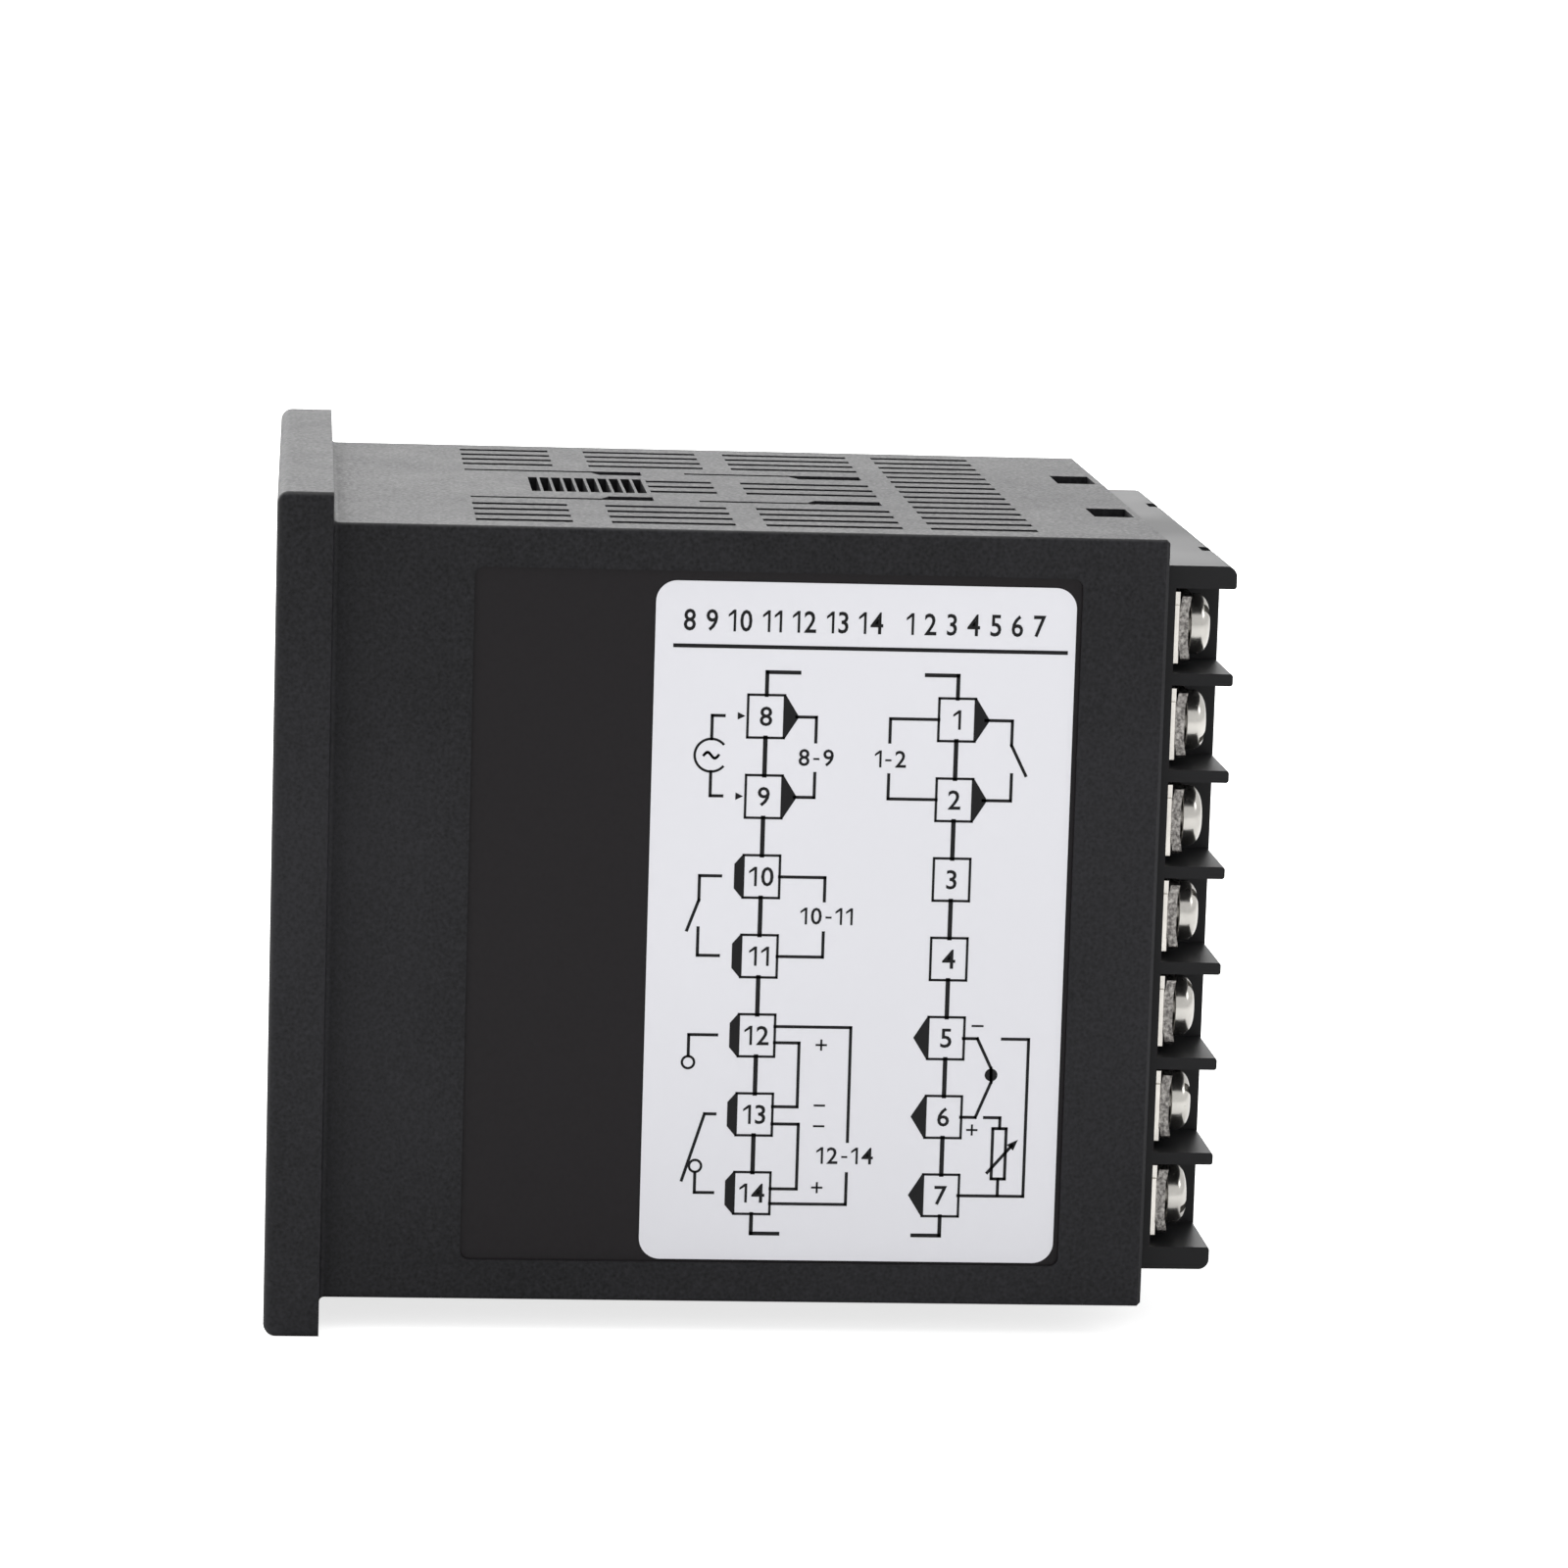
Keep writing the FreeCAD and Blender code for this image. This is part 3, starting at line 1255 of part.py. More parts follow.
def make_winding():
    """The taped coil between the bobbin's flanges."""
    body = new_body("transformer_winding")
    low = f"(core_z - {WINDOW_HALF} + bobbin_gap + bobbin_flange + winding_gap)"
    high = f"(core_z + {WINDOW_HALF} - bobbin_gap - bobbin_flange - winding_gap)"
    grown = "2*winding_gap + 2*winding_build"
    outline = centred(CORE_X, CORE_Y, f"{BOBBIN_WIDTH} + {grown}", f"{BOBBIN_DEPTH} + {grown}")
    pad(body, "coil", "Z", low, high, outline)
    soften(body, "tape", "Fillet", "tape_round", lambda box: runs_along(box, "Z"))
    bore = centred(CORE_X, CORE_Y, f"{BOBBIN_WIDTH} + 2*winding_gap", f"{BOBBIN_DEPTH} + 2*winding_gap")
    pocket(body, "bore", "Z", f"({low} - 0.1)", f"({high} + 0.1)", bore)
    return body


# The five pins of a relay, as shares of its length from the front and of its width from the middle
RELAY_PINS = ((0.1, -0.35), (0.1, 0.35), (0.9, -0.35), (0.9, 0.35), (0.3, 0))


def make_relay(label, side, front):
    """A sealed relay on short pins; its front end is at a place along the board."""
    x = off_board(side, "relay_stand", "relay_height")
    whole = block(f"{label}_block", x, (front, f"({front} + relay_length)"), span("relay_z", "relay_width"))
    case = rounded(f"{label}_case", whole, "relay_round", lambda box: runs_along(box, "X"))
    pins = [
        block(
            f"{label}_pin_{index}",
            off_board(side, "0", "relay_stand + 0.2"),
            span(f"({front} + {along}*relay_length)", "relay_pin"),
            span(f"(relay_z + {across}*relay_width)", "relay_pin"),
        )
        for index, (along, across) in enumerate(RELAY_PINS)
    ]
    return keep(joined(label, case, *pins), label)


def can(name, y, z, radius, height):
    """An aluminium capacitor can on the power board, with a crimp groove near the board."""
    start = f"({BOARD_INNER} - {height})"
    groove = f"({BOARD_INNER} - {height}/6)"
    outer = rod(f"{name}_body", "X", (start, y, z), f"{height}*5/6 - can_groove", radius)
    waist = (f"({groove} - can_groove - 0.1)", y, z)
    neck = rod(f"{name}_neck", "X", waist, "can_groove + 0.2", f"{radius} - can_groove")
    foot = rod(f"{name}_foot", "X", (groove, y, z), f"{height}/6", radius)
    whole = joined(f"{name}_can", outer, neck, foot)
    top = value(start)
    return rounded(name, whole, "can_rim", lambda box: lies_at(box, "X", top))


def make_cans():
    """The large filter capacitor and two smaller ones of the same kind."""
    keep(can("filter_capacitor", CAN_Y, "can_z", "can_radius", "can_height"), "filter_capacitor")
    small = []
    for index in range(2):
        name = f"small_capacitor_{index}"
        y = f"({SMALL_CAN_Y} + {index}*{SMALL_CAN_PITCH})"
        small.append(can(name, y, "small_can_z", "small_can_radius", "small_can_height"))
    return keep(grouped("small_capacitors", small), "small_capacitors")


def make_bridge():
    """The bridge rectifier."""
    body = new_body("bridge_rectifier")
    x = off_board(1, "0", "bridge_height")
    pad(body, "block", "X", *x, centred(BRIDGE_Y, "bridge_z", "bridge_length", "bridge_width"))
    top = value(x[0])
    soften(body, "bevel", "Chamfer", "digits_bevel", lambda box: lies_at(box, "X", top))
    return body


def make_fuse():
    """The mains fuse: a glass tube between two caps, each held in a clip on the power board."""
    x = f"({BOARD_INNER} - fuse_stand - fuse_radius)"
    low, high = span("fuse_y", "fuse_length")
    start = (x, f"({low} + fuse_cap)", "fuse_z")
    keep(rod("fuse_tube", "Y", start, "fuse_length - 2*fuse_cap", "fuse_radius - 0.1"), "fuse_tube")
    clips = []
    for index, start in enumerate((low, f"({high} - fuse_cap)")):
        cap = rod(f"fuse_cap_{index}", "Y", (x, start, "fuse_z"), "fuse_cap", "fuse_radius")
        clip = block(
            f"fuse_clip_{index}",
            (x, BOARD_INNER),
            span(f"({start} + fuse_cap/2)", "clip_width"),
            span("fuse_z", "2*fuse_radius + 1"),
        )
        clips.append(joined(f"fuse_end_{index}", cap, clip))
    return keep(grouped("fuse_clips", clips), "fuse_clips")


def make_varistor():
    """The disc varistor across the mains, on its two leads."""
    x = f"({BOARD_INNER} - varistor_stand - varistor_radius)"
    low = span("varistor_z", "varistor_thickness")[0]
    disc = rod("varistor_disc", "Z", (x, "varistor_y", low), "varistor_thickness", "varistor_radius")
    leads = []
    for index, side in enumerate((-1, 1)):
        start = (x, f"(varistor_y + {side}*varistor_radius/2)", "varistor_z")
        length = "varistor_stand + varistor_radius"
        leads.append(rod(f"varistor_lead_{index}", "X", start, length, "lead_radius"))
    return keep(joined("varistor", disc, *leads), "varistor")


def make_regulator():
    """The voltage regulator: a block with a metal tab and three legs, its back against the heat sink."""
    x = off_board(1, "regulator_stand", "regulator_height")
    y = (f"({REGULATOR_Y} - regulator_depth)", REGULATOR_Y)
    case = block("regulator_block", x, y, span("regulator_z", "regulator_width"))
    tab = block(
        "regulator_tab",
        off_board(1, "regulator_stand + regulator_height - 0.5", "regulator_tab_height + 0.5"),
        (f"({REGULATOR_Y} - regulator_tab)", REGULATOR_Y),
        span("regulator_z", "regulator_width"),
    )
    legs = [
        block(
            f"regulator_leg_{index}",
            off_board(1, "0", "regulator_stand + 0.5"),
            span(f"({REGULATOR_Y} - regulator_depth/2)", "2*lead_radius"),
            span(f"(regulator_z + {side}*regulator_pitch)", "3*lead_radius"),
        )
        for index, side in enumerate((-1, 0, 1))
    ]
    return keep(joined("voltage_regulator", case, tab, *legs), "voltage_regulator")


def make_heat_sink():
    """The finned aluminium heat sink behind the regulator."""
    body = new_body("heat_sink")
    x = off_board(1, "0", "sink_height")
    low = span("regulator_z", "sink_width")[0]
    plate = rectangle(REGULATOR_Y, f"({REGULATOR_Y} + sink_plate)", *span("regulator_z", "sink_width"))
    pad(body, "plate", "X", *x, plate)
    root = f"({REGULATOR_Y} + sink_plate)"
    fin = rectangle(f"({root} - 0.2)", f"({root} + sink_fin_depth)", low, f"({low} + sink_fin)")
    first = pad(body, "fin", "X", *x, fin)
    repeat(body, "fins", first, "Z", "(sink_width - sink_fin)/(sink_fins - 1)", "sink_fins")
    return body


def make_chip(label, size):
    """A flat chip on the control board, with a row of pins along both long sides."""
    body = new_body(label)
    x = off_board(-1, "0", f"{size}_height")
    pad(body, "block", "X", *x, centred(f"{size}_y", f"{size}_z", f"{size}_length", f"{size}_width"))
    row = f"({size}_y - ({size}_pins - 1)*pin_pitch/2)"
    outline = centred(row, f"{size}_z", "pin_width", f"{size}_width + 2*pin_reach")
    pin = pad(body, "pin", "X", *off_board(-1, "0", "pin_thickness"), outline)
    repeat(body, "pins", pin, "Y", "pin_pitch", f"{size}_pins")
    return body


def make_crystal():
    """The crystal's metal can, with round ends."""
    x = off_board(-1, "0", "crystal_height")
    case = block("crystal_block", x, span("crystal_y", "crystal_length"), span("crystal_z", "crystal_width"))
    return keep(rounded("crystal", case, "crystal_width*0.49", lambda box: runs_along(box, "X")), "crystal")


FIRST_FILM_Y = f"({SIDE_BOARD_END} - film_rear_gap - film_width/2 - film_pitch)"


def row_of_blocks(label, size, count, first):
    """Like box-shaped parts in a row along the control board, each across it."""
    things = [
        block(
            f"{label}_{index}",
            off_board(-1, "0", f"{size}_height"),
            span(f"({first} + {index}*{size}_pitch)", f"{size}_width"),
            span(f"{size}_z", f"{size}_length"),
        )
        for index in range(count)
    ]
    return keep(grouped(label, things), label)


def make_resistor_network():
    """The flat row of resistors, which stands on edge along the control board."""
    x = off_board(-1, "0", "network_height")
    y = span("network_y", "network_length")
    return keep(block("resistor_network", x, y, span("network_z", "network_width")), "resistor_network")


# ---------------------------------------------------------------- the whole controller


def make_all():
    make_case()
    make_terminal_base()
    make_contacts()
    make_washers()
    make_terminal_screws()
    make_wiring_label()
    make_fascia()
    make_display_window()
    for name, place in key_places():
        make_key(name, place)
        make_plunger(name, place)
    make_tact_switches()
    make_display_board()
    make_board_screws()
    make_digits("main_digits", "0", "main_digits_rise")
    make_digits("set_digits", "set_digits_reach", "(-set_digits_drop)")
    make_lamps()
    make_side_board("power_board", 1)
    make_side_board("control_board", -1)
    make_spacer()
    make_headers()
    make_core()
    make_bobbin()
    make_winding()
    make_relay("output_relay_front", 1, "relay_front")
    make_relay("output_relay_rear", 1, "(relay_front + relay_pitch)")
    make_relay("alarm_relay", -1, "relay_front")
    make_cans()
    make_bridge()
    make_fuse()
    make_varistor()
    make_regulator()
    make_heat_sink()
    make_chip("microcontroller", "chip")
    make_chip("memory_chip", "small_chip")
    make_crystal()
    row_of_blocks("optocouplers", "coupler", 3, "coupler_y")
    row_of_blocks("film_capacitors", "film", 2, FIRST_FILM_Y)
    make_resistor_network()


def check_all():
    """Stops if any object failed to build or a sub-part has no good shape."""
    doc.recompute()
    for thing in doc.Objects:
        if "Invalid" in thing.State or "Error" in thing.State:
            raise RuntimeError(f"{thing.Name} did not build: {thing.State}")
    for thing in subparts:
        shape = thing.Shape
        if shape.isNull() or not shape.isValid() or not shape.Solids:
            raise RuntimeError(f"{thing.Label} has no valid solid")


def write_all():
    os.makedirs("parts", exist_ok=True)
    for thing in subparts:
        thing.Shape.exportStep(f"parts/{thing.Label}.step")
        print(f"{thing.Label}: {len(thing.Shape.Solids)} solid(s), {thing.Shape.Volume:.1f} mm3")


make_all()
check_all()
write_all()
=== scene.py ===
# %% [markdown]
# # A panel temperature controller
# The frame in model.glb holds every solid at its real size, so this lesson never moves one.
# It gives the solids their finishes and adds what is too fine for them: print, segments, solder,
# screw heads that are each turned their own way. The frame comes first, because places are read from it.

# %% Load the frame
import math
import random

import bmesh
import bpy
from mathutils import Matrix, Vector


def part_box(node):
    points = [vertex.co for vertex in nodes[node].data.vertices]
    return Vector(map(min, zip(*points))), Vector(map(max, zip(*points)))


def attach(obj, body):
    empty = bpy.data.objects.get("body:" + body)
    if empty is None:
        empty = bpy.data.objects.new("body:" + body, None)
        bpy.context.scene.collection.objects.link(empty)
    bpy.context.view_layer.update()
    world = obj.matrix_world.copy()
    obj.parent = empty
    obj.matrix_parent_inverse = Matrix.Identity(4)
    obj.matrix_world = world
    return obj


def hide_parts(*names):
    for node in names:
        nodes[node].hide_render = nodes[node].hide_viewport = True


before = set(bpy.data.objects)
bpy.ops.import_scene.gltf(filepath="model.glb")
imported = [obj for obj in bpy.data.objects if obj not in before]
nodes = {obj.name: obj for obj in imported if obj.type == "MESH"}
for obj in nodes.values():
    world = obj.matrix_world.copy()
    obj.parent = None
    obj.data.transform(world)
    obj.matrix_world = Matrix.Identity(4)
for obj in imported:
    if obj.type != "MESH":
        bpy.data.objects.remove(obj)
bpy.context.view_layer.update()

MM = 0.001

# %% [markdown]
# Blender works in metres and the makers of such a part in millimetres. Every piece below is therefore
# drawn in millimetres and scaled once at the end. The corners of a solid come from the frame.

# %% Corners of a solid in millimetres
def corners(node):
    """The lowest and the highest corner of a solid, in millimetres."""
    low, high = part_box(node)
    return low / MM, high / MM


label_low, label_high = corners("wiring_label")
print("label", [round(side, 2) for side in label_high - label_low])

# %% [markdown]
# ## Camera
# The controller is seen from its right side, a little from above and a little from the front, with a long
# lens that keeps its edges almost parallel. The camera is turned by three angles instead of being
# aimed with a constraint, because a slight roll is part of the view.

# %% Place the camera
CAMERA_PLACE = Vector((540.9, -2.85, 91.7)) * MM
CAMERA_TURN = [math.radians(angle) for angle in (81.08, -1.73, 85.63)]
LENS = 140.1
SENSOR_WIDTH = 36.0

camera = bpy.data.objects.new("camera", bpy.data.cameras.new("camera"))
camera.data.lens = LENS
camera.data.sensor_width = SENSOR_WIDTH
camera.location = CAMERA_PLACE
camera.rotation_euler = CAMERA_TURN
bpy.context.scene.collection.objects.link(camera)
bpy.context.scene.camera = camera
print("camera", [round(part, 3) for part in camera.location])

# %% [markdown]
# ## Light
# The controller stands in a white tent: the world is an even pale grey that reads as white to the camera,
# and the floor is a wide pale disc that meets the horizon from every side. Black plastic then stays
# black where it is looked at squarely and turns grey where the view grazes it. The floor is an opal
# table lit from below, which thins the shadow; only the camera sees that glow.

# %% A value of its own for the camera
def seen_or_not(tree, seen, otherwise):
    """One value for rays that come straight from the camera, another for all the rest."""
    camera_ray = tree.nodes.new("ShaderNodeLightPath").outputs["Is Camera Ray"]
    choice = tree.nodes.new("ShaderNodeMapRange")
    choice.inputs["To Min"].default_value = otherwise
    choice.inputs["To Max"].default_value = seen
    tree.links.new(camera_ray, choice.inputs["Value"])
    return choice.outputs["Result"]


print("camera helper ready")

# %% [markdown]
# The floor is one flat disc, level with the lowest edge of the flange, so that the flange stands on it. It
# is a stage and not a part of the controller.

# %% Floor
FLOOR_RADIUS = 9.0
FLOOR_GLOW = 0.75
floor_level = corners("case_shell")[0].z * MM

floor_mesh = bpy.data.meshes.new("floor")
disc = bmesh.new()
bmesh.ops.create_circle(disc, cap_ends=True, segments=64, radius=FLOOR_RADIUS)
bmesh.ops.translate(disc, verts=disc.verts, vec=(0, 0, floor_level))
disc.to_mesh(floor_mesh)
disc.free()
floor = bpy.data.objects.new("floor", floor_mesh)
bpy.context.scene.collection.objects.link(floor)

floor_paint = bpy.data.materials.new("floor_paint")
floor_paint.use_nodes = True
paint = floor_paint.node_tree.nodes["Principled BSDF"].inputs
paint["Base Color"].default_value = (0.90, 0.90, 0.90, 1)
paint["Roughness"].default_value = 0.9
paint["Specular IOR Level"].default_value = 0.1
paint["Emission Color"].default_value = (1, 1, 1, 1)
glow = seen_or_not(floor_paint.node_tree, FLOOR_GLOW, 0.0)
floor_paint.node_tree.links.new(glow, paint["Emission Strength"])
floor_mesh.materials.append(floor_paint)
print("floor at", round(floor_level, 4))

# %% [markdown]
# Soft boxes give the even tent a direction: one above, one at the rear, and a broad card far behind the
# controller, whose mirror image brightens the grazed roof.

# %% Soft boxes and world
CONTROLLER_MIDDLE = Vector((0, 0.036, 0))
WORLD_SEEN = 1.0
WORLD_LIGHT = 0.8


def soft_box(name, place, size, watts):
    """An area light, wide and tall in metres, that looks at the middle of the controller."""
    light = bpy.data.lights.new(name, "AREA")
    light.shape = "RECTANGLE"
    light.size, light.size_y = size
    light.energy = watts
    box = bpy.data.objects.new(name, light)
    box.location = place
    box.rotation_euler = (CONTROLLER_MIDDLE - Vector(place)).to_track_quat("-Z", "Y").to_euler()
    bpy.context.scene.collection.objects.link(box)


soft_box("top_box", (-0.2, -0.3, 1.3), (1.0, 1.0), 11)
soft_box("rear_box", (0.5, 1.2, 0.8), (0.5, 0.5), 1.7)
soft_box("back_card", (-6.0, -2.2, 1.875), (9.0, 3.75), 265)

world = bpy.data.worlds.new("studio")
world.use_nodes = True
background = world.node_tree.nodes["Background"].inputs
background["Color"].default_value = (1.0, 1.0, 1.0, 1)
strength = seen_or_not(world.node_tree, WORLD_SEEN, WORLD_LIGHT)
world.node_tree.links.new(strength, background["Strength"])
bpy.context.scene.world = world
bpy.context.scene.view_settings.view_transform = "Standard"
print(len(bpy.data.lights), "lights")

# %% [markdown]
# ## Finishes
# A node tree is easier to read as a list of calls than as a drawing of wires. `add` makes one node;
# an input that is given another node's socket is linked to it. Effects that several finishes share
# are groups: each is built once and placed in a material with its own numbers.

# %% Helpers for node trees
def set_inputs(tree, node, inputs):
    """Sets a node's inputs to values, or links them to the sockets that are given."""
    for name, value in inputs.items():
        if isinstance(value, bpy.types.NodeSocket):
            tree.links.new(value, node.inputs[name])
        else:
            node.inputs[name].default_value = value


def add(tree, kind, inputs=None, **settings):
    """Adds a node. Settings are its own properties; inputs are values, or sockets to link from."""
    node = tree.nodes.new(kind)
    for name, value in settings.items():
        setattr(node, name, value)
    set_inputs(tree, node, inputs or {})
    return node


def new_sockets(tree, side, sockets):
    """Names a group's sockets, each given by its kind and, where it has one, its first value."""
    for name, (kind, *start) in sockets.items():
        made = tree.interface.new_socket(name, in_out=side, socket_type="NodeSocket" + kind)
        if start:
            made.default_value = start[0]


def new_group(name, inputs, outputs):
    """A shader node group: its tree, the sockets that it is given and those that it fills."""
    tree = bpy.data.node_groups.new(name, "ShaderNodeTree")
    new_sockets(tree, "INPUT", inputs)
    new_sockets(tree, "OUTPUT", {output: ("Float",) for output in outputs})
    return tree, add(tree, "NodeGroupInput").outputs, add(tree, "NodeGroupOutput")


def fill(tree, group, inputs):
    """Places a group in a tree with its own numbers and gives its outputs."""
    return add(tree, "ShaderNodeGroup", inputs, node_tree=group).outputs


print("helpers for trees ready")

# %% [markdown]
# A few steps come back in every finish: a sum, a fade between two levels, a blend of two colours, a noise,
# and the bump that turns a height into a tilt of the surface. Each gets a short name.

# %% Steps that finishes share
def math_node(tree, operation, *values, clamp=False):
    inputs = dict(enumerate(values))
    return add(tree, "ShaderNodeMath", inputs, operation=operation, use_clamp=clamp).outputs[0]


def fade(tree, value, low=0.0, high=1.0, first=0.0, second=1.0):
    """Maps low..high to first..second and holds the ends."""
    inputs = {"Value": value, "From Min": low, "From Max": high, "To Min": first, "To Max": second}
    return add(tree, "ShaderNodeMapRange", inputs, clamp=True).outputs["Result"]


def mix_colours(tree, share, first, second):
    """The first colour where the share is 0, the second where it is 1."""
    # A mix node has sockets for every kind of data: 0 is the share, 6 and 7 are the colours.
    return add(tree, "ShaderNodeMix", {0: share, 6: first, 7: second}, data_type="RGBA").outputs[2]


def noise(tree, place, scale, detail, roughness=0.5):
    inputs = {"Vector": place, "Scale": scale, "Detail": detail, "Roughness": roughness}
    return add(tree, "ShaderNodeTexNoise", inputs).outputs["Fac"]


def split(tree, vector):
    """The X, Y and Z of a vector."""
    return add(tree, "ShaderNodeSeparateXYZ", {"Vector": vector}).outputs


def surface_direction(tree):
    """The X, Y and Z of the way a surface faces."""
    return split(tree, add(tree, "ShaderNodeNewGeometry").outputs["Normal"])


def bumped(tree, height, depth, strength=1.0):
    """A normal that follows a height, whose depth is in millimetres."""
    inputs = {"Height": height, "Distance": depth * MM, "Strength": strength}
    return add(tree, "ShaderNodeBump", inputs).outputs["Normal"]


print("shared steps ready")

# %% [markdown]
# A moulded surface copies its steel mould. Where the mould was spark-eroded, the plastic is a field of
# tiny craters, and its tone wanders a little over centimetres where the melt cooled unevenly. One
# group gives both: a height for the bump and a slow tone for colour and gloss.

# %% Group: moulded grain
grain_group, given, leave = new_group(
    "moulded_grain",
    {"Coordinates": ("Vector",), "Grain per metre": ("Float", 3500.0), "Drift per metre": ("Float", 45.0)},
    ["Height", "Tone"],
)
craters = add(grain_group, "ShaderNodeTexVoronoi", {
    "Vector": given["Coordinates"], "Scale": given["Grain per metre"], "Randomness": 1.0,
}, feature="SMOOTH_F1").outputs["Distance"]
pits = noise(grain_group, given["Coordinates"], given["Grain per metre"], 3.0, 0.6)
drift = noise(grain_group, given["Coordinates"], given["Drift per metre"], 2.0)
set_inputs(grain_group, leave, {
    "Height": math_node(grain_group, "ADD", math_node(grain_group, "MULTIPLY", craters, 0.6), pits),
    "Tone": fade(grain_group, drift, 0.3, 0.7),
})
print("grain group:", len(grain_group.nodes), "nodes")

# %% [markdown]
# Nothing black stays free of dust for long. Specks are the rare cells of a Voronoi pattern whose
# random number is high, drawn small and round; a thin film lies only on what faces up.

# %% Group: dust
dust_group, given, leave = new_group(
    "dust",
    {
        "Coordinates": ("Vector",), "Specks per metre": ("Float", 260.0), "Rarity": ("Float", 0.93),
        "Film": ("Float", 0.0),
    },
    ["Mask"],
)
cells = add(dust_group, "ShaderNodeTexVoronoi", {
    "Vector": given["Coordinates"], "Scale": given["Specks per metre"], "Randomness": 1.0,
}, feature="F1").outputs
cell_number = add(dust_group, "ShaderNodeSeparateColor", {"Color": cells["Color"]}).outputs[0]
rare = math_node(dust_group, "GREATER_THAN", cell_number, given["Rarity"])
spot = fade(dust_group, cells["Distance"], 0.02, 0.05, 1.0, 0.0)
speck = math_node(dust_group, "MULTIPLY", spot, rare)
level = fade(dust_group, surface_direction(dust_group)["Z"], 0.5, 1.0)
patches = fade(dust_group, noise(dust_group, given["Coordinates"], 120.0, 5.0, 0.7), 0.35, 0.8)
film = math_node(dust_group, "MULTIPLY", level, patches)
film = math_node(dust_group, "MULTIPLY", film, given["Film"])
set_inputs(dust_group, leave, {"Mask": math_node(dust_group, "MAXIMUM", speck, film)})
print("dust group:", len(dust_group.nodes), "nodes")

# %% [markdown]
# Some finishes change at a line, such as the smooth floor of the label's recess in a grained wall. This
# group gives 1 inside a box of the object's own coordinates and 0 outside it.

# %% Group: inside a box
region_group, given, leave = new_group(
    "inside_box", {"Coordinates": ("Vector",), "Low": ("Vector",), "High": ("Vector",)}, ["Mask"],
)


def vector_node(tree, operation, first, second):
    return add(tree, "ShaderNodeVectorMath", {0: first, 1: second}, operation=operation).outputs[0]


above = vector_node(region_group, "SUBTRACT", given["Coordinates"], given["Low"])
below = vector_node(region_group, "SUBTRACT", given["High"], given["Coordinates"])
depths = split(region_group, vector_node(region_group, "MINIMUM", above, below))
least = math_node(region_group, "MINIMUM", depths[0], depths[1])
least = math_node(region_group, "MINIMUM", least, depths[2])
set_inputs(region_group, leave, {"Mask": math_node(region_group, "GREATER_THAN", least, 0.0)})
print("region group:", len(region_group.nodes), "nodes")

# %% [markdown]
# Plate, tin and stamped steel are never evenly bright. Streaks come from a noise that is stretched
# along one axis, and stains from a slow one. Both only change roughness and tint.

# %% Group: metal wear
metal_group, given, leave = new_group(
    "metal_wear",
    {"Coordinates": ("Vector",), "Stretch": ("Vector", (1, 1, 1)), "Streaks per metre": ("Float", 2500.0)},
    ["Streaks", "Stains"],
)
stretched = vector_node(metal_group, "MULTIPLY", given["Coordinates"], given["Stretch"])
streaks = noise(metal_group, stretched, given["Streaks per metre"], 4.0, 0.65)
stains = noise(metal_group, given["Coordinates"], 420.0, 4.0, 0.6)
set_inputs(metal_group, leave, {
    "Streaks": fade(metal_group, streaks, 0.3, 0.7), "Stains": fade(metal_group, stains, 0.35, 0.7),
})
print("metal group:", len(metal_group.nodes), "nodes")

# %% [markdown]
# Most pieces are moulded plastic, so one function makes such a finish from a few numbers: colour, gloss,
# size and depth of the grain, dust. Steady numbers go straight onto the shader's sockets.

# %% A function for moulded plastics
DUST_GREY = (0.30, 0.29, 0.28, 1)
GLOSS_DRIFT = 0.04
COAT_ROUGHNESS = 0.08


def shade(colour, factor):
    """A colour made darker or lighter, as the four numbers that a socket takes."""
    return tuple(part * factor for part in colour) + (1.0,)


def start_material(name):
    """A new material, its tree, its shader and the object's own coordinates."""
    material = bpy.data.materials.new(name)
    material.use_nodes = True
    tree = material.node_tree
    return material, tree, tree.nodes["Principled BSDF"], add(tree, "ShaderNodeTexCoord").outputs["Object"]


def plastic(
    name, colour, roughness, grain=3500.0, depth=0.006, uneven=0.12, dust=0.0, specular=0.3, coat=0.0
):
    """A moulded plastic: grain in grains per metre, its depth in millimetres."""
    material, tree, shader, coordinates = start_material(name)
    texture = fill(tree, grain_group, {"Coordinates": coordinates, "Grain per metre": grain})
    specks = fill(tree, dust_group, {"Coordinates": coordinates, "Rarity": 0.97, "Film": dust})["Mask"]
    tone = mix_colours(tree, texture["Tone"], shade(colour, 1 - uneven), shade(colour, 1 + uneven))
    gloss = fade(tree, texture["Tone"], first=roughness - GLOSS_DRIFT, second=roughness + GLOSS_DRIFT)
    set_inputs(tree, shader, {
        "Base Color": mix_colours(tree, specks, tone, DUST_GREY),
        "Roughness": math_node(tree, "MAXIMUM", gloss, specks),
        "Normal": bumped(tree, texture["Height"], depth),
        "Specular IOR Level": specular,
        "Coat Weight": coat,
        "Coat Roughness": COAT_ROUGHNESS,
    })
    return material


print("plastic helper ready")

# %% [markdown]
# The list below then reads like a moulder's order: the terminal block is smoother than the fascia, the
# keys are grey, relay lids shine, a varistor is dipped and lumpy.

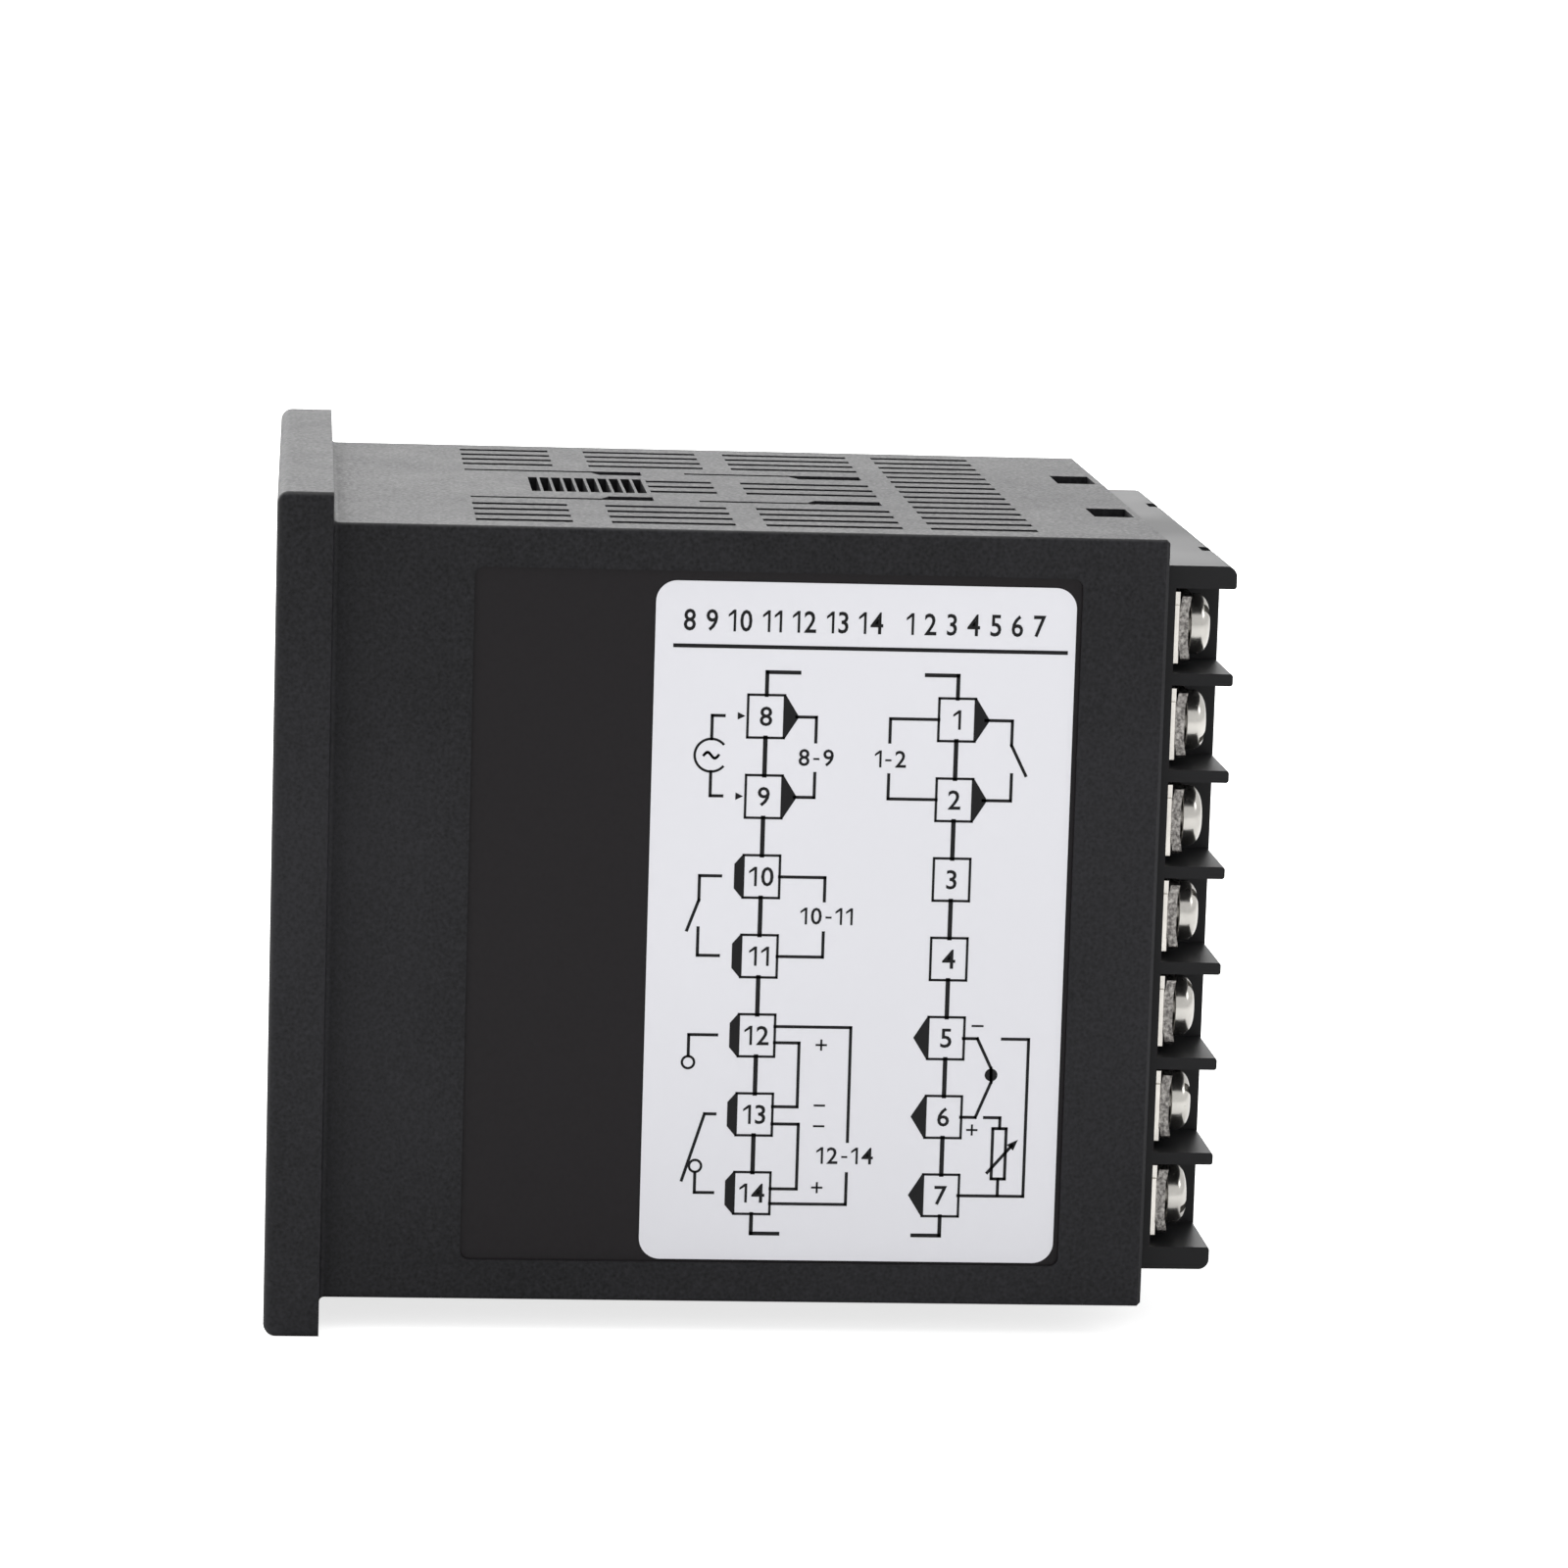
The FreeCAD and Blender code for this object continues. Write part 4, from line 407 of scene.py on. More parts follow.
# %% Moulded plastics
terminal_plastic = plastic(
    "terminal_plastic", (0.010, 0.010, 0.011), 0.48, grain=2500, depth=0.002, specular=0.2
)
fascia_plastic = plastic("fascia_plastic", (0.011, 0.011, 0.012), 0.46, depth=0.007, dust=0.05, specular=0.2)
key_plastic = plastic("key_plastic", (0.085, 0.090, 0.095), 0.50, grain=4500, depth=0.004)
component_black = plastic("component_black", (0.018, 0.018, 0.020), 0.55, grain=6000, depth=0.004)
bobbin_nylon = plastic("bobbin_nylon", (0.62, 0.60, 0.52), 0.5, grain=3000, depth=0.003)
relay_blue = plastic("relay_blue", (0.012, 0.060, 0.26), 0.28, grain=2500, depth=0.002, coat=0.3)
varistor_blue = plastic("varistor_blue", (0.03, 0.10, 0.32), 0.45, grain=900, depth=0.03)
film_yellow = plastic("film_yellow", (0.62, 0.40, 0.03), 0.35, grain=2500, depth=0.003, coat=0.2)
digit_face = plastic("digit_face", (0.030, 0.030, 0.033), 0.38, grain=3000, depth=0.002)
lamp_lens = plastic("lamp_lens", (0.30, 0.055, 0.035), 0.3, grain=5000, depth=0.002, uneven=0.05, coat=0.3)
print(len(bpy.data.materials), "materials so far")

# %% [markdown]
# The case is the piece that the eye rests on. Its walls carry the spark-eroded grain, while the floor of
# the label's recess was polished in the mould, so there the grain fades and the gloss rises. The
# recess is found by its place: its floor is where the label lies.

# %% The case's plastic
RECESS_START = 11.9
RECESS_END = 63.2
RECESS_HALF_HEIGHT = 29.75
NEAR_FLOOR = 0.05
CASE_DUST = (0.35, 0.34, 0.33, 1)

case_plastic, tree, shader, coordinates = start_material("case_plastic")
recess = fill(tree, region_group, {
    "Coordinates": coordinates,
    "Low": Vector((label_low.x - NEAR_FLOOR, RECESS_START, -RECESS_HALF_HEIGHT)) * MM,
    "High": Vector((label_low.x + NEAR_FLOOR, RECESS_END, RECESS_HALF_HEIGHT)) * MM,
})["Mask"]
texture = fill(tree, grain_group, {"Coordinates": coordinates, "Grain per metre": 3200.0})
specks = fill(tree, dust_group, {
    "Coordinates": coordinates, "Specks per metre": 160.0, "Rarity": 0.985, "Film": 0.10,
})["Mask"]

cloud = math_node(tree, "MULTIPLY_ADD", texture["Height"], 1.25, -0.52)
cloud = math_node(tree, "ADD", cloud, math_node(tree, "MULTIPLY", texture["Tone"], 0.35), clamp=True)
grained = mix_colours(tree, cloud, (0.0010, 0.0012, 0.0016, 1), (0.0210, 0.0207, 0.0238, 1))
toned = mix_colours(tree, recess, grained, (0.0095, 0.0078, 0.0092, 1))

slow_gloss = fade(tree, texture["Tone"], first=0.28, second=0.31)
gloss = math_node(tree, "ADD", slow_gloss, fade(tree, texture["Height"], second=0.32))
gloss = math_node(tree, "MAXIMUM", gloss, specks)
relief = math_node(tree, "MULTIPLY", texture["Height"], math_node(tree, "SUBTRACT", 1.0, recess))
set_inputs(tree, shader, {
    "Base Color": mix_colours(tree, specks, toned, CASE_DUST),
    "Roughness": math_node(tree, "SUBTRACT", gloss, math_node(tree, "MULTIPLY", recess, 0.10)),
    "Normal": bumped(tree, relief, 0.010),
    "Specular IOR Level": 0.2,
})
print("case plastic:", len(tree.nodes), "nodes")

# %% [markdown]
# Metals take their colour from the shader's metallic side. Nickel plate is warm and bright, zinc a
# little blue, varnished core steel dark. Aluminium fins show the streaks of the press. The saddle
# washers have a finish of their own: their bitten surface mixes dark pits with satin ridges.

# %% Metals
def metal(name, colour, roughness, stretch=(1, 1, 1), streaks=2500.0, spread=0.10, dent=0.004):
    """A plated or pressed metal with streaks along the axis whose stretch is small."""
    material, tree, shader, coordinates = start_material(name)
    wear = fill(tree, metal_group, {
        "Coordinates": coordinates, "Stretch": Vector(stretch), "Streaks per metre": streaks,
    })
    set_inputs(tree, shader, {
        "Base Color": mix_colours(tree, wear["Stains"], shade(colour, 0.82), shade(colour, 1.0)),
        "Roughness": fade(tree, wear["Streaks"], first=roughness, second=roughness + spread),
        "Normal": bumped(tree, wear["Streaks"], dent, 0.7),
        "Metallic": 1.0,
    })
    return material


nickel_plate = metal("nickel_plate", (0.80, 0.77, 0.72), 0.16)
screw_plate = metal("screw_plate", (0.68, 0.66, 0.62), 0.18, dent=0.0006)
gold_plate = metal("gold_plate", (0.83, 0.60, 0.25), 0.30, spread=0.04, dent=0.0005)
zinc_plate = metal("zinc_plate", (0.66, 0.67, 0.68), 0.30)
core_steel = metal("core_steel", (0.22, 0.22, 0.24), 0.42, stretch=(1, 14, 1), streaks=300)
sink_aluminium = metal("sink_aluminium", (0.60, 0.61, 0.63), 0.32, stretch=(0.05, 1, 1))
crystal_steel = metal("crystal_steel", (0.74, 0.74, 0.75), 0.22)
solder = metal("solder", (0.70, 0.70, 0.71), 0.22)

washer_plate, tree, shader, coordinates = start_material("washer_plate")
mottle = fade(tree, noise(tree, coordinates, 2900.0, 3.0, 0.7), 0.36, 0.66)
set_inputs(tree, shader, {
    "Base Color": mix_colours(tree, mottle, (0.15, 0.14, 0.135, 1), (0.50, 0.48, 0.455, 1)),
    "Roughness": fade(tree, mottle, first=0.50, second=0.28),
    "Normal": bumped(tree, mottle, 0.05, 0.8),
    "Metallic": 1.0,
})
print("metals ready")

# %% [markdown]
# The label is smooth white film with the faintest tooth. Ink is a plastic too, a thin one, so the same
# function serves for black print, pale print and the white of unlit segments.

# %% Label stock and inks
label_stock, tree, shader, coordinates = start_material("label_stock")
texture = fill(tree, grain_group, {
    "Coordinates": coordinates, "Grain per metre": 5000.0, "Drift per metre": 25.0,
})
set_inputs(tree, shader, {
    "Base Color": mix_colours(tree, texture["Tone"], (0.755, 0.755, 0.795, 1), (0.785, 0.785, 0.825, 1)),
    "Roughness": fade(tree, texture["Tone"], first=0.44, second=0.52),
    "Normal": bumped(tree, texture["Height"], 0.0015),
})

ink = plastic("ink", (0.007, 0.007, 0.008), 0.50, grain=9000, depth=0.001, uneven=0.3, specular=0.2)
pale_ink = plastic("pale_ink", (0.62, 0.62, 0.60), 0.5, grain=9000, depth=0.001, uneven=0.06)
segment_white = plastic("segment_white", (0.42, 0.41, 0.39), 0.45, grain=5000, depth=0.001, uneven=0.05)
print("label and inks ready")

# %% [markdown]
# Copper tracks show through the green mask of a circuit board as a raised, lighter web of straight runs
# and 45-degree bends. A tiling draws them: a random number per tile picks two bends, laid one way or the
# other, or one straight run, and in some a pad. Tracks end in the middles of a tile's sides, so that
# most neighbours join.

# %% Group: board tracks
track_group, given, leave = new_group(
    "board_tracks",
    {
        "U": ("Float", 0.0), "V": ("Float", 0.0), "Tiles per metre": ("Float", 600.0),
        "Half width": ("Float", 0.12),
    },
    ["Copper", "Pad"],
)


def track_math(operation, *values):
    return math_node(track_group, operation, *values)


def from_middle(part):
    """How far a place in a tile, which runs from 0 to 1, lies from the tile's middle."""
    return track_math("SUBTRACT", part, 0.5)


scaled = [track_math("MULTIPLY", given[name], given["Tiles per metre"]) for name in ("U", "V")]
inside = [track_math("FRACT", part) for part in scaled]
tile = add(track_group, "ShaderNodeCombineXYZ", {
    "X": track_math("FLOOR", scaled[0]), "Y": track_math("FLOOR", scaled[1]),
}).outputs[0]
chance = add(track_group, "ShaderNodeTexWhiteNoise", {"Vector": tile}).outputs["Value"]

flip = track_math("GREATER_THAN", chance, 0.36)
flipped = track_math("ABSOLUTE", track_math("SUBTRACT", inside[0], flip))
total = track_math("ADD", flipped, inside[1])
off_half = track_math("ABSOLUTE", track_math("SUBTRACT", total, 1.0))
bend = track_math("MULTIPLY", track_math("ABSOLUTE", from_middle(off_half)), 0.707)
straight = track_math("ABSOLUTE", from_middle(inside[1]))
is_straight = track_math("GREATER_THAN", chance, 0.62)
# For plain numbers, sockets 2 and 3 of a mix node are the two values.
distance = add(track_group, "ShaderNodeMix", {0: is_straight, 2: bend, 3: straight}, data_type="FLOAT")
copper = track_math("LESS_THAN", distance.outputs[0], given["Half width"])

squares = [track_math("POWER", from_middle(part), 2.0) for part in inside]
reach = track_math("SQRT", track_math("ADD", *squares))
is_pad = track_math("GREATER_THAN", chance, 0.86)
pad = track_math("MULTIPLY", track_math("LESS_THAN", reach, 0.24), is_pad)
set_inputs(track_group, leave, {
    "Copper": track_math("MAXIMUM", copper, pad),
    "Pad": track_math("MULTIPLY", track_math("LESS_THAN", reach, 0.12), is_pad),
})
print("track group:", len(track_group.nodes), "nodes")

# %% [markdown]
# A board is the same stuff whichever way it stands, so one function makes its finish from the axis
# across it. Mask and copper belong on its two faces; the sawn edges show bare glass fibre.

# %% Circuit boards
def board_material(name, flat_axis):
    """Green mask over copper tracks on the board's faces, bare glass fibre on its cut edges."""
    material, tree, shader, coordinates = start_material(name)
    along = {"X": (1, 2), "Y": (0, 2)}[flat_axis]
    place = split(tree, coordinates)
    tracks = fill(tree, track_group, {"U": place[along[0]], "V": place[along[1]]})
    weave = noise(tree, coordinates, 2200.0, 2.0)
    green = mix_colours(tree, tracks["Copper"], (0.006, 0.052, 0.022, 1), (0.012, 0.120, 0.045, 1))
    green = mix_colours(tree, tracks["Pad"], green, (0.50, 0.51, 0.50, 1))
    fibre = mix_colours(tree, weave, (0.30, 0.30, 0.16, 1), (0.42, 0.42, 0.26, 1))
    across = math_node(tree, "ABSOLUTE", surface_direction(tree)[flat_axis])
    on_face = math_node(tree, "GREATER_THAN", across, 0.7)
    relief = math_node(tree, "ADD", tracks["Copper"], math_node(tree, "MULTIPLY", weave, 0.15))
    set_inputs(tree, shader, {
        "Base Color": mix_colours(tree, on_face, fibre, green),
        "Roughness": fade(tree, on_face, first=0.7, second=0.30),
        "Normal": bumped(tree, relief, 0.03, 0.8),
    })
    return material


board_across_x = board_material("board_across_x", "X")
board_across_y = board_material("board_across_y", "Y")
print("boards ready")

# %% [markdown]
# The remaining finishes each have one trait of their own: tape edges on the coil, a stripe and bare
# metal ends on the capacitors' sleeves, smoke in the window, clear glass round the fuse.

# %% Coil tape, sleeves, window and fuse
coil_tape, tree, shader, coordinates = start_material("coil_tape")
wraps = add(tree, "ShaderNodeTexWave", {
    "Vector": coordinates, "Scale": 60.0, "Distortion": 0.6,
}, bands_direction="Z").outputs["Fac"]
texture = fill(tree, grain_group, {"Coordinates": coordinates})
set_inputs(tree, shader, {
    "Base Color": mix_colours(tree, wraps, (0.60, 0.37, 0.03, 1), (0.72, 0.47, 0.06, 1)),
    "Roughness": fade(tree, texture["Tone"], first=0.25, second=0.35),
    "Normal": bumped(tree, wraps, 0.08, 0.6),
})

sleeve, tree, shader, coordinates = start_material("sleeve")
texture = fill(tree, grain_group, {"Coordinates": coordinates})
direction = surface_direction(tree)
stripe = math_node(tree, "GREATER_THAN", direction["Z"], 0.90)
end = math_node(tree, "GREATER_THAN", math_node(tree, "ABSOLUTE", direction["X"]), 0.9)
wrapped = mix_colours(tree, stripe, (0.012, 0.013, 0.030, 1), (0.45, 0.45, 0.48, 1))
set_inputs(tree, shader, {
    "Base Color": mix_colours(tree, end, wrapped, (0.55, 0.55, 0.56, 1)),
    "Roughness": fade(tree, texture["Tone"], first=0.24, second=0.34),
    "Metallic": end,
})

smoked, tree, shader, coordinates = start_material("smoked_window")
texture = fill(tree, grain_group, {"Coordinates": coordinates, "Drift per metre": 30.0})
set_inputs(tree, shader, {
    "Base Color": mix_colours(tree, texture["Tone"], (0.008, 0.003, 0.003, 1), (0.011, 0.004, 0.004, 1)),
    "Roughness": fade(tree, texture["Tone"], first=0.05, second=0.09),
    "Alpha": 0.62,
})

clear_glass, tree, shader, coordinates = start_material("clear_glass")
texture = fill(tree, grain_group, {"Coordinates": coordinates, "Drift per metre": 80.0})
set_inputs(tree, shader, {
    "Base Color": mix_colours(tree, texture["Tone"], (0.86, 0.9, 0.88, 1), (0.92, 0.95, 0.93, 1)),
    "Roughness": fade(tree, texture["Tone"], first=0.03, second=0.07),
    "Transmission Weight": 1.0,
    "IOR": 1.5,
})
print(len(bpy.data.materials), "materials")

# %% [markdown]
# Each solid that already has the right form only changes its material. The table below reads like a
# parts list: finish on the left, the solids that wear it on the right.

# %% Dress the solids
FINISHES = [
    (case_plastic, ["case_shell"]),
    (terminal_plastic, ["terminal_base", "board_spacer"]),
    (nickel_plate, ["terminal_contacts", "fuse_clips"]),
    (label_stock, ["wiring_label"]),
    (fascia_plastic, ["fascia"]),
    (smoked, ["display_window"]),
    (key_plastic, ["key_set", "key_shift", "key_down", "key_up"]),
    (component_black, ["plunger_set", "plunger_shift", "plunger_down", "plunger_up", "tact_switches"]),
    (component_black, ["board_headers", "bridge_rectifier", "voltage_regulator", "optocouplers"]),
    (component_black, ["microcontroller", "memory_chip", "resistor_network"]),
    (board_across_y, ["display_board"]),
    (board_across_x, ["power_board", "control_board"]),
    (zinc_plate, ["board_screws"]),
    (digit_face, ["main_digits", "set_digits"]),
    (lamp_lens, ["indicator_lamps"]),
    (core_steel, ["transformer_core"]),
    (bobbin_nylon, ["transformer_bobbin"]),
    (coil_tape, ["transformer_winding"]),
    (relay_blue, ["output_relay_front", "output_relay_rear", "alarm_relay"]),
    (sleeve, ["filter_capacitor", "small_capacitors"]),
    (clear_glass, ["fuse_tube"]),
    (varistor_blue, ["varistor"]),
    (sink_aluminium, ["heat_sink"]),
    (crystal_steel, ["crystal"]),
    (film_yellow, ["film_capacitors"]),
]
for finish, names in FINISHES:
    for name in names:
        nodes[name].data.materials.clear()
        nodes[name].data.materials.append(finish)
print(sum(len(names) for _, names in FINISHES), "solids dressed")

# %% [markdown]
# ## Drawing on a face
# Print, segments and symbols are all flat shapes on some face. They are drawn as on paper, with u to
# the right, v up and w out of the sheet, as plates a few hundredths of a millimetre thick, and
# one matrix then lays the sheet on its face. Thin closed plates stay clean when exported.

# %% Flat shapes
INK = 0.02


def sheet_on(corner, right, up):
    """The matrix that lays a drawing in millimetres on a face, its lower left corner at a point."""
    right = Vector(right)
    up = Vector(up)
    turn = Matrix((right, up, right.cross(up))).transposed().to_4x4()
    return Matrix.Translation(Vector(corner)) @ turn


def plate(mesh, outline, thickness, base=0.0):
    """A flat convex or simple outline made into a thin closed plate."""
    lower = [mesh.verts.new((u, v, base)) for u, v in outline]
    upper = [mesh.verts.new((u, v, base + thickness)) for u, v in outline]
    mesh.faces.new(upper)
    mesh.faces.new(list(reversed(lower)))
    count = len(outline)
    for index in range(count):
        following = (index + 1) % count
        mesh.faces.new((lower[index], lower[following], upper[following], upper[index]))


def oblong(left, bottom, right, top):
    """The outline of an upright rectangle."""
    return [(left, bottom), (right, bottom), (right, top), (left, top)]


def stroke(mesh, points, width, thickness):
    """A line of a given width through points, each run as one plate that ends square."""
    for (u0, v0), (u1, v1) in zip(points, points[1:]):
        along = Vector((u1 - u0, v1 - v0)).normalized() * (width / 2)
        side = Vector((-along.y, along.x))
        start = Vector((u0, v0)) - along
        end = Vector((u1, v1)) + along
        plate(mesh, [start - side, end - side, end + side, start + side], thickness)


print("plates and strokes ready")

# %% [markdown]
# Round shapes are plates too, with enough corners to look round at their size: a disc is one plate, and a
# ring is a chain of short ones, so that an arc of it can be left open.

# %% Rings and discs
def around(centre, radius, angle):
    """The point at an angle, in radians, on a circle."""
    return centre[0] + radius * math.cos(angle), centre[1] + radius * math.sin(angle)


def ring(mesh, centre, radius, width, thickness, start=0.0, end=360.0, steps=28):
    """An arc of a ring between two angles in degrees, counted from the right."""
    inner = radius - width / 2
    outer = radius + width / 2
    span = end - start
    for step in range(steps):
        now, then = [math.radians(start + span * (step + more) / steps) for more in (0, 1)]
        spots = [(inner, now), (outer, now), (outer, then), (inner, then)]
        plate(mesh, [around(centre, reach, angle) for reach, angle in spots], thickness)


def disc_plate(mesh, centre, radius, thickness, steps=24):
    turns = [2 * math.pi * step / steps for step in range(steps)]
    plate(mesh, [around(centre, radius, angle) for angle in turns], thickness)


print("rings and discs ready")

# %% [markdown]
# Numbers are set one figure at a time, as in a printer's stick, which gives control of their spacing.
# Most figures come from Blender's own font, a little bolder. The one, with its flag, and the short dash are
# drawn as plates. Each figure is made once and copied wherever it is needed.

# %% Figures
FIGURES = {}
BOLDER = 0.010


def font_figure(sign):
    """A sign of Blender's own font as a mesh of unit height."""
    curve = bpy.data.curves.new("figure", "FONT")
    curve.body = sign
    curve.extrude = 0.5
    curve.offset = BOLDER
    curve.resolution_u = 3
    holder = bpy.data.objects.new("figure", curve)
    bpy.context.scene.collection.objects.link(holder)
    bpy.context.view_layer.update()
    flat = bpy.data.meshes.new_from_object(holder)
    made = bmesh.new()
    made.from_mesh(flat)
    bpy.data.objects.remove(holder)
    bpy.data.curves.remove(curve)
    bpy.data.meshes.remove(flat)
    left = min(vert.co.x for vert in made.verts)
    bottom = min(vert.co.y for vert in made.verts)
    scale = 1 / (max(vert.co.y for vert in made.verts) - bottom)
    bmesh.ops.translate(made, vec=(-left, -bottom, 0.5), verts=made.verts)
    bmesh.ops.scale(made, vec=(scale, scale, 1), verts=made.verts)
    return made


def drawn_figure(outlines):
    made = bmesh.new()
    for outline in outlines:
        plate(made, outline, 1.0)
    return made


def figure(sign):
    """One sign as a mesh of unit height that stands on y = 0 and starts at x = 0, and its width."""
    if sign not in FIGURES:
        if sign == "1":
            flag = [(0.0, 0.66), (0.27, 0.83), (0.27, 1.0), (0.0, 0.78)]
            made = drawn_figure([oblong(0.27, 0.0, 0.40, 1.0), flag])
        elif sign == "-":
            made = drawn_figure([oblong(0.0, 0.37, 0.36, 0.48)])
        else:
            made = font_figure(sign)
        data = bpy.data.meshes.new("figure")
        made.to_mesh(data)
        made.free()
        FIGURES[sign] = (data, max(vert.co.x for vert in data.vertices))
    return FIGURES[sign]


print("figures ready")

# %% [markdown]
# Setting a text takes two passes: the first walks a pen along the figures and notes where each one goes,
# the second knows the whole width, and so can centre the text as it copies the figures.

# %% Setting numbers
def write(mesh, text, centre, tall, squeeze=1.0, gap=0.22, space=0.34):
    """Numbers printed round a centre, figure by figure, with a given height in millimetres."""
    spots = []
    pen = 0.0
    for sign in text:
        if sign == " ":
            pen += space
            continue
        data, width = figure(sign)
        spots.append((data, pen))
        pen += width + gap
    wide = tall * squeeze
    for data, left in spots:
        corner = (centre[0] + (left - (pen - gap) / 2) * wide, centre[1] - tall / 2, 0)
        copy = data.copy()
        copy.transform(Matrix.Translation(corner) @ Matrix.Diagonal((wide, tall, INK, 1)))
        mesh.from_mesh(copy)
        bpy.data.meshes.remove(copy)


print("numbers can be set")

# %% [markdown]
# A drawing becomes a piece in one step: it is laid on its face, turned from millimetres to metres, given
# its finish, and hung on the body that it moves with.

# %% From a drawing to a piece
def smoothed(data, angle):
    """Shades a mesh smoothly, except over edges sharper than an angle in degrees."""
    data.polygons.foreach_set("use_smooth", [True] * len(data.polygons))
    data.set_sharp_from_angle(angle=math.radians(angle))


def finish_piece(name, mesh, place, material, body):
    """Lays a drawing in its place, turns millimetres to metres and hangs the piece on its body."""
    bmesh.ops.transform(mesh, matrix=Matrix.Scale(MM, 4) @ place, verts=mesh.verts)
    bmesh.ops.recalc_face_normals(mesh, faces=mesh.faces)
    data = bpy.data.meshes.new(name)
    mesh.to_mesh(data)
    mesh.free()
    data.materials.append(material)
    piece = bpy.data.objects.new(name, data)
    bpy.context.scene.collection.objects.link(piece)
    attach(piece, body)
    print(f"{name}: {len(data.polygons)} faces")


UPWARDS = (0, 0, 1)
RIGHT_SIDE = ((0, 1, 0), UPWARDS)
LEFT_SIDE = ((0, -1, 0), UPWARDS)
FRONT_SIDE = ((1, 0, 0), UPWARDS)
REAR_SIDE = ((-1, 0, 0), UPWARDS)
print("drawing tools ready")

# %% [markdown]
# ## The wiring label
# The label shows the two terminal columns as boxes joined by thick links, with black tips that say which
# way the current goes, and beside them the symbols of what is wired there: mains, relay
# contacts, thermocouple, resistance sensor. Numbers and symbols are all that is written. The
# columns are loops; v is counted downwards from the label's top edge, as one reads it.

# %% Pens for the label
THIN = 0.21
LINE = 0.26
THICK = 0.38
BRACKET = 0.33
POLARITY = 0.17
ROW_PITCH = 6.86
FIRST_ROW = 11.4
label_tall = label_high.z - label_low.z

drawing = bmesh.new()


def row(index):
    return FIRST_ROW + index * ROW_PITCH


def down(points):
    """Turns heights counted from the label's top into heights from its bottom."""
    return [(u, label_tall - v) for u, v in points]


def line(*points, width=LINE):
    stroke(drawing, down(points), width, INK)


def shape(*points):
    plate(drawing, down(points), INK)


def circle(u, v, radius, start=0.0, end=360.0):
    ring(drawing, (u, label_tall - v), radius, THIN, INK, start, end)


def label_text(text, u, v, tall, squeeze=1.0):
    write(drawing, text, (u, label_tall - v), tall, squeeze)


def polarity(u, v, plus, half=0.4):
    """A minus sign, or a plus sign."""
    line((u - half, v), (u + half, v), width=POLARITY)
    if plus:
        line((u, v - half), (u, v + half), width=POLARITY)


def open_bracket(near, far, first, last, stop, resume):
    """A line that runs out from one box and back to another, with a gap between two heights."""
    line((near, first), (far, first), (far, stop))
    line((far, resume), (far, last), (near, last))


print("label", round(label_tall, 2), "mm tall")

# %% [markdown]
# A box with its number is one small function and a tip another. The two columns differ in their place, in
# their first number and in their tips: sharp or blunt, to one side or the other, or none.

# %% The label's columns
BOX_HALF_WIDTH = 1.55
BOX_HALF_HEIGHT = 1.825
LEFT_COLUMN = 9.55
RIGHT_COLUMN = 25.75
BLUNT_REACH = 0.66
BLUNT_HALF = 1.05
SHARP_REACH = 1.15
BOX_FIGURE = 1.66


def tip(column, v, side, blunt):
    """The black tip beside a box: a sharp arrow head, or a blunt one with bevelled corners."""
    near = column + side * (BOX_HALF_WIDTH + THIN / 2)
    if blunt:
        far = near + side * BLUNT_REACH
        ends = [(far, v - BLUNT_HALF), (far, v + BLUNT_HALF)]
    else:
        ends = [(near + side * SHARP_REACH, v)]
    shape((near, v - BOX_HALF_HEIGHT), *ends, (near, v + BOX_HALF_HEIGHT))


def numbered_box(column, v, number):
    left, right = column - BOX_HALF_WIDTH, column + BOX_HALF_WIDTH
    frame_line = oblong(left, v - BOX_HALF_HEIGHT, right, v + BOX_HALF_HEIGHT)
    line(*frame_line, frame_line[0], width=THIN)
    label_text(str(number), column, v, BOX_FIGURE)


for column, first in ((LEFT_COLUMN, 8), (RIGHT_COLUMN, 1)):
    for index in range(7):
        numbered_box(column, row(index), first + index)
        if index < 6:
            link_end = row(index + 1) - BOX_HALF_HEIGHT
            line((column, row(index) + BOX_HALF_HEIGHT), (column, link_end), width=THICK)
for index in range(7):
    tip(LEFT_COLUMN, row(index), 1 if index < 2 else -1, index >= 2)
for index in (0, 1, 4, 5, 6):
    tip(RIGHT_COLUMN, row(index), 1 if index < 2 else -1, False)
for column, side in ((LEFT_COLUMN, 1), (RIGHT_COLUMN, -1)):
    for start, rise, out in ((row(0) - BOX_HALF_HEIGHT, -1.95, 2.7), (row(6) + BOX_HALF_HEIGHT, 1.7, 2.3)):
        line((column, start), (column, start + rise), (column + side * out, start + rise), width=BRACKET)
print("columns drawn")

# %% [markdown]
# Left of the left column stand the supply, a circle with one wave of alternating current in it, and the
# switch of each output: a blade that leans away from its contact, with small circles at the
# terminals of the change-over switch.

# %% Symbols left of the left column
SUPPLY = 5.0
SUPPLY_LEVEL = 14.8
SUPPLY_RADIUS = 1.4
WAVE_HALF = 0.62
WAVE_RISE = 0.24
EYE = 0.52
CONTACT = 4.3
COMMON = 3.77
THROW = 4.62

open_bracket(6.0, SUPPLY, row(0), row(1), SUPPLY_LEVEL - SUPPLY_RADIUS, SUPPLY_LEVEL + SUPPLY_RADIUS)
circle(SUPPLY, SUPPLY_LEVEL, SUPPLY_RADIUS, 40, 320)
wave = []
for step in range(13):
    share = step / 12
    wave.append((
        SUPPLY + (2 * share - 1) * WAVE_HALF, SUPPLY_LEVEL - WAVE_RISE * math.sin(2 * math.pi * share),
    ))
line(*wave, width=0.22)
for index in (0, 1):
    shape((7.15, row(index) - 0.32), (7.8, row(index)), (7.15, row(index) + 0.32))

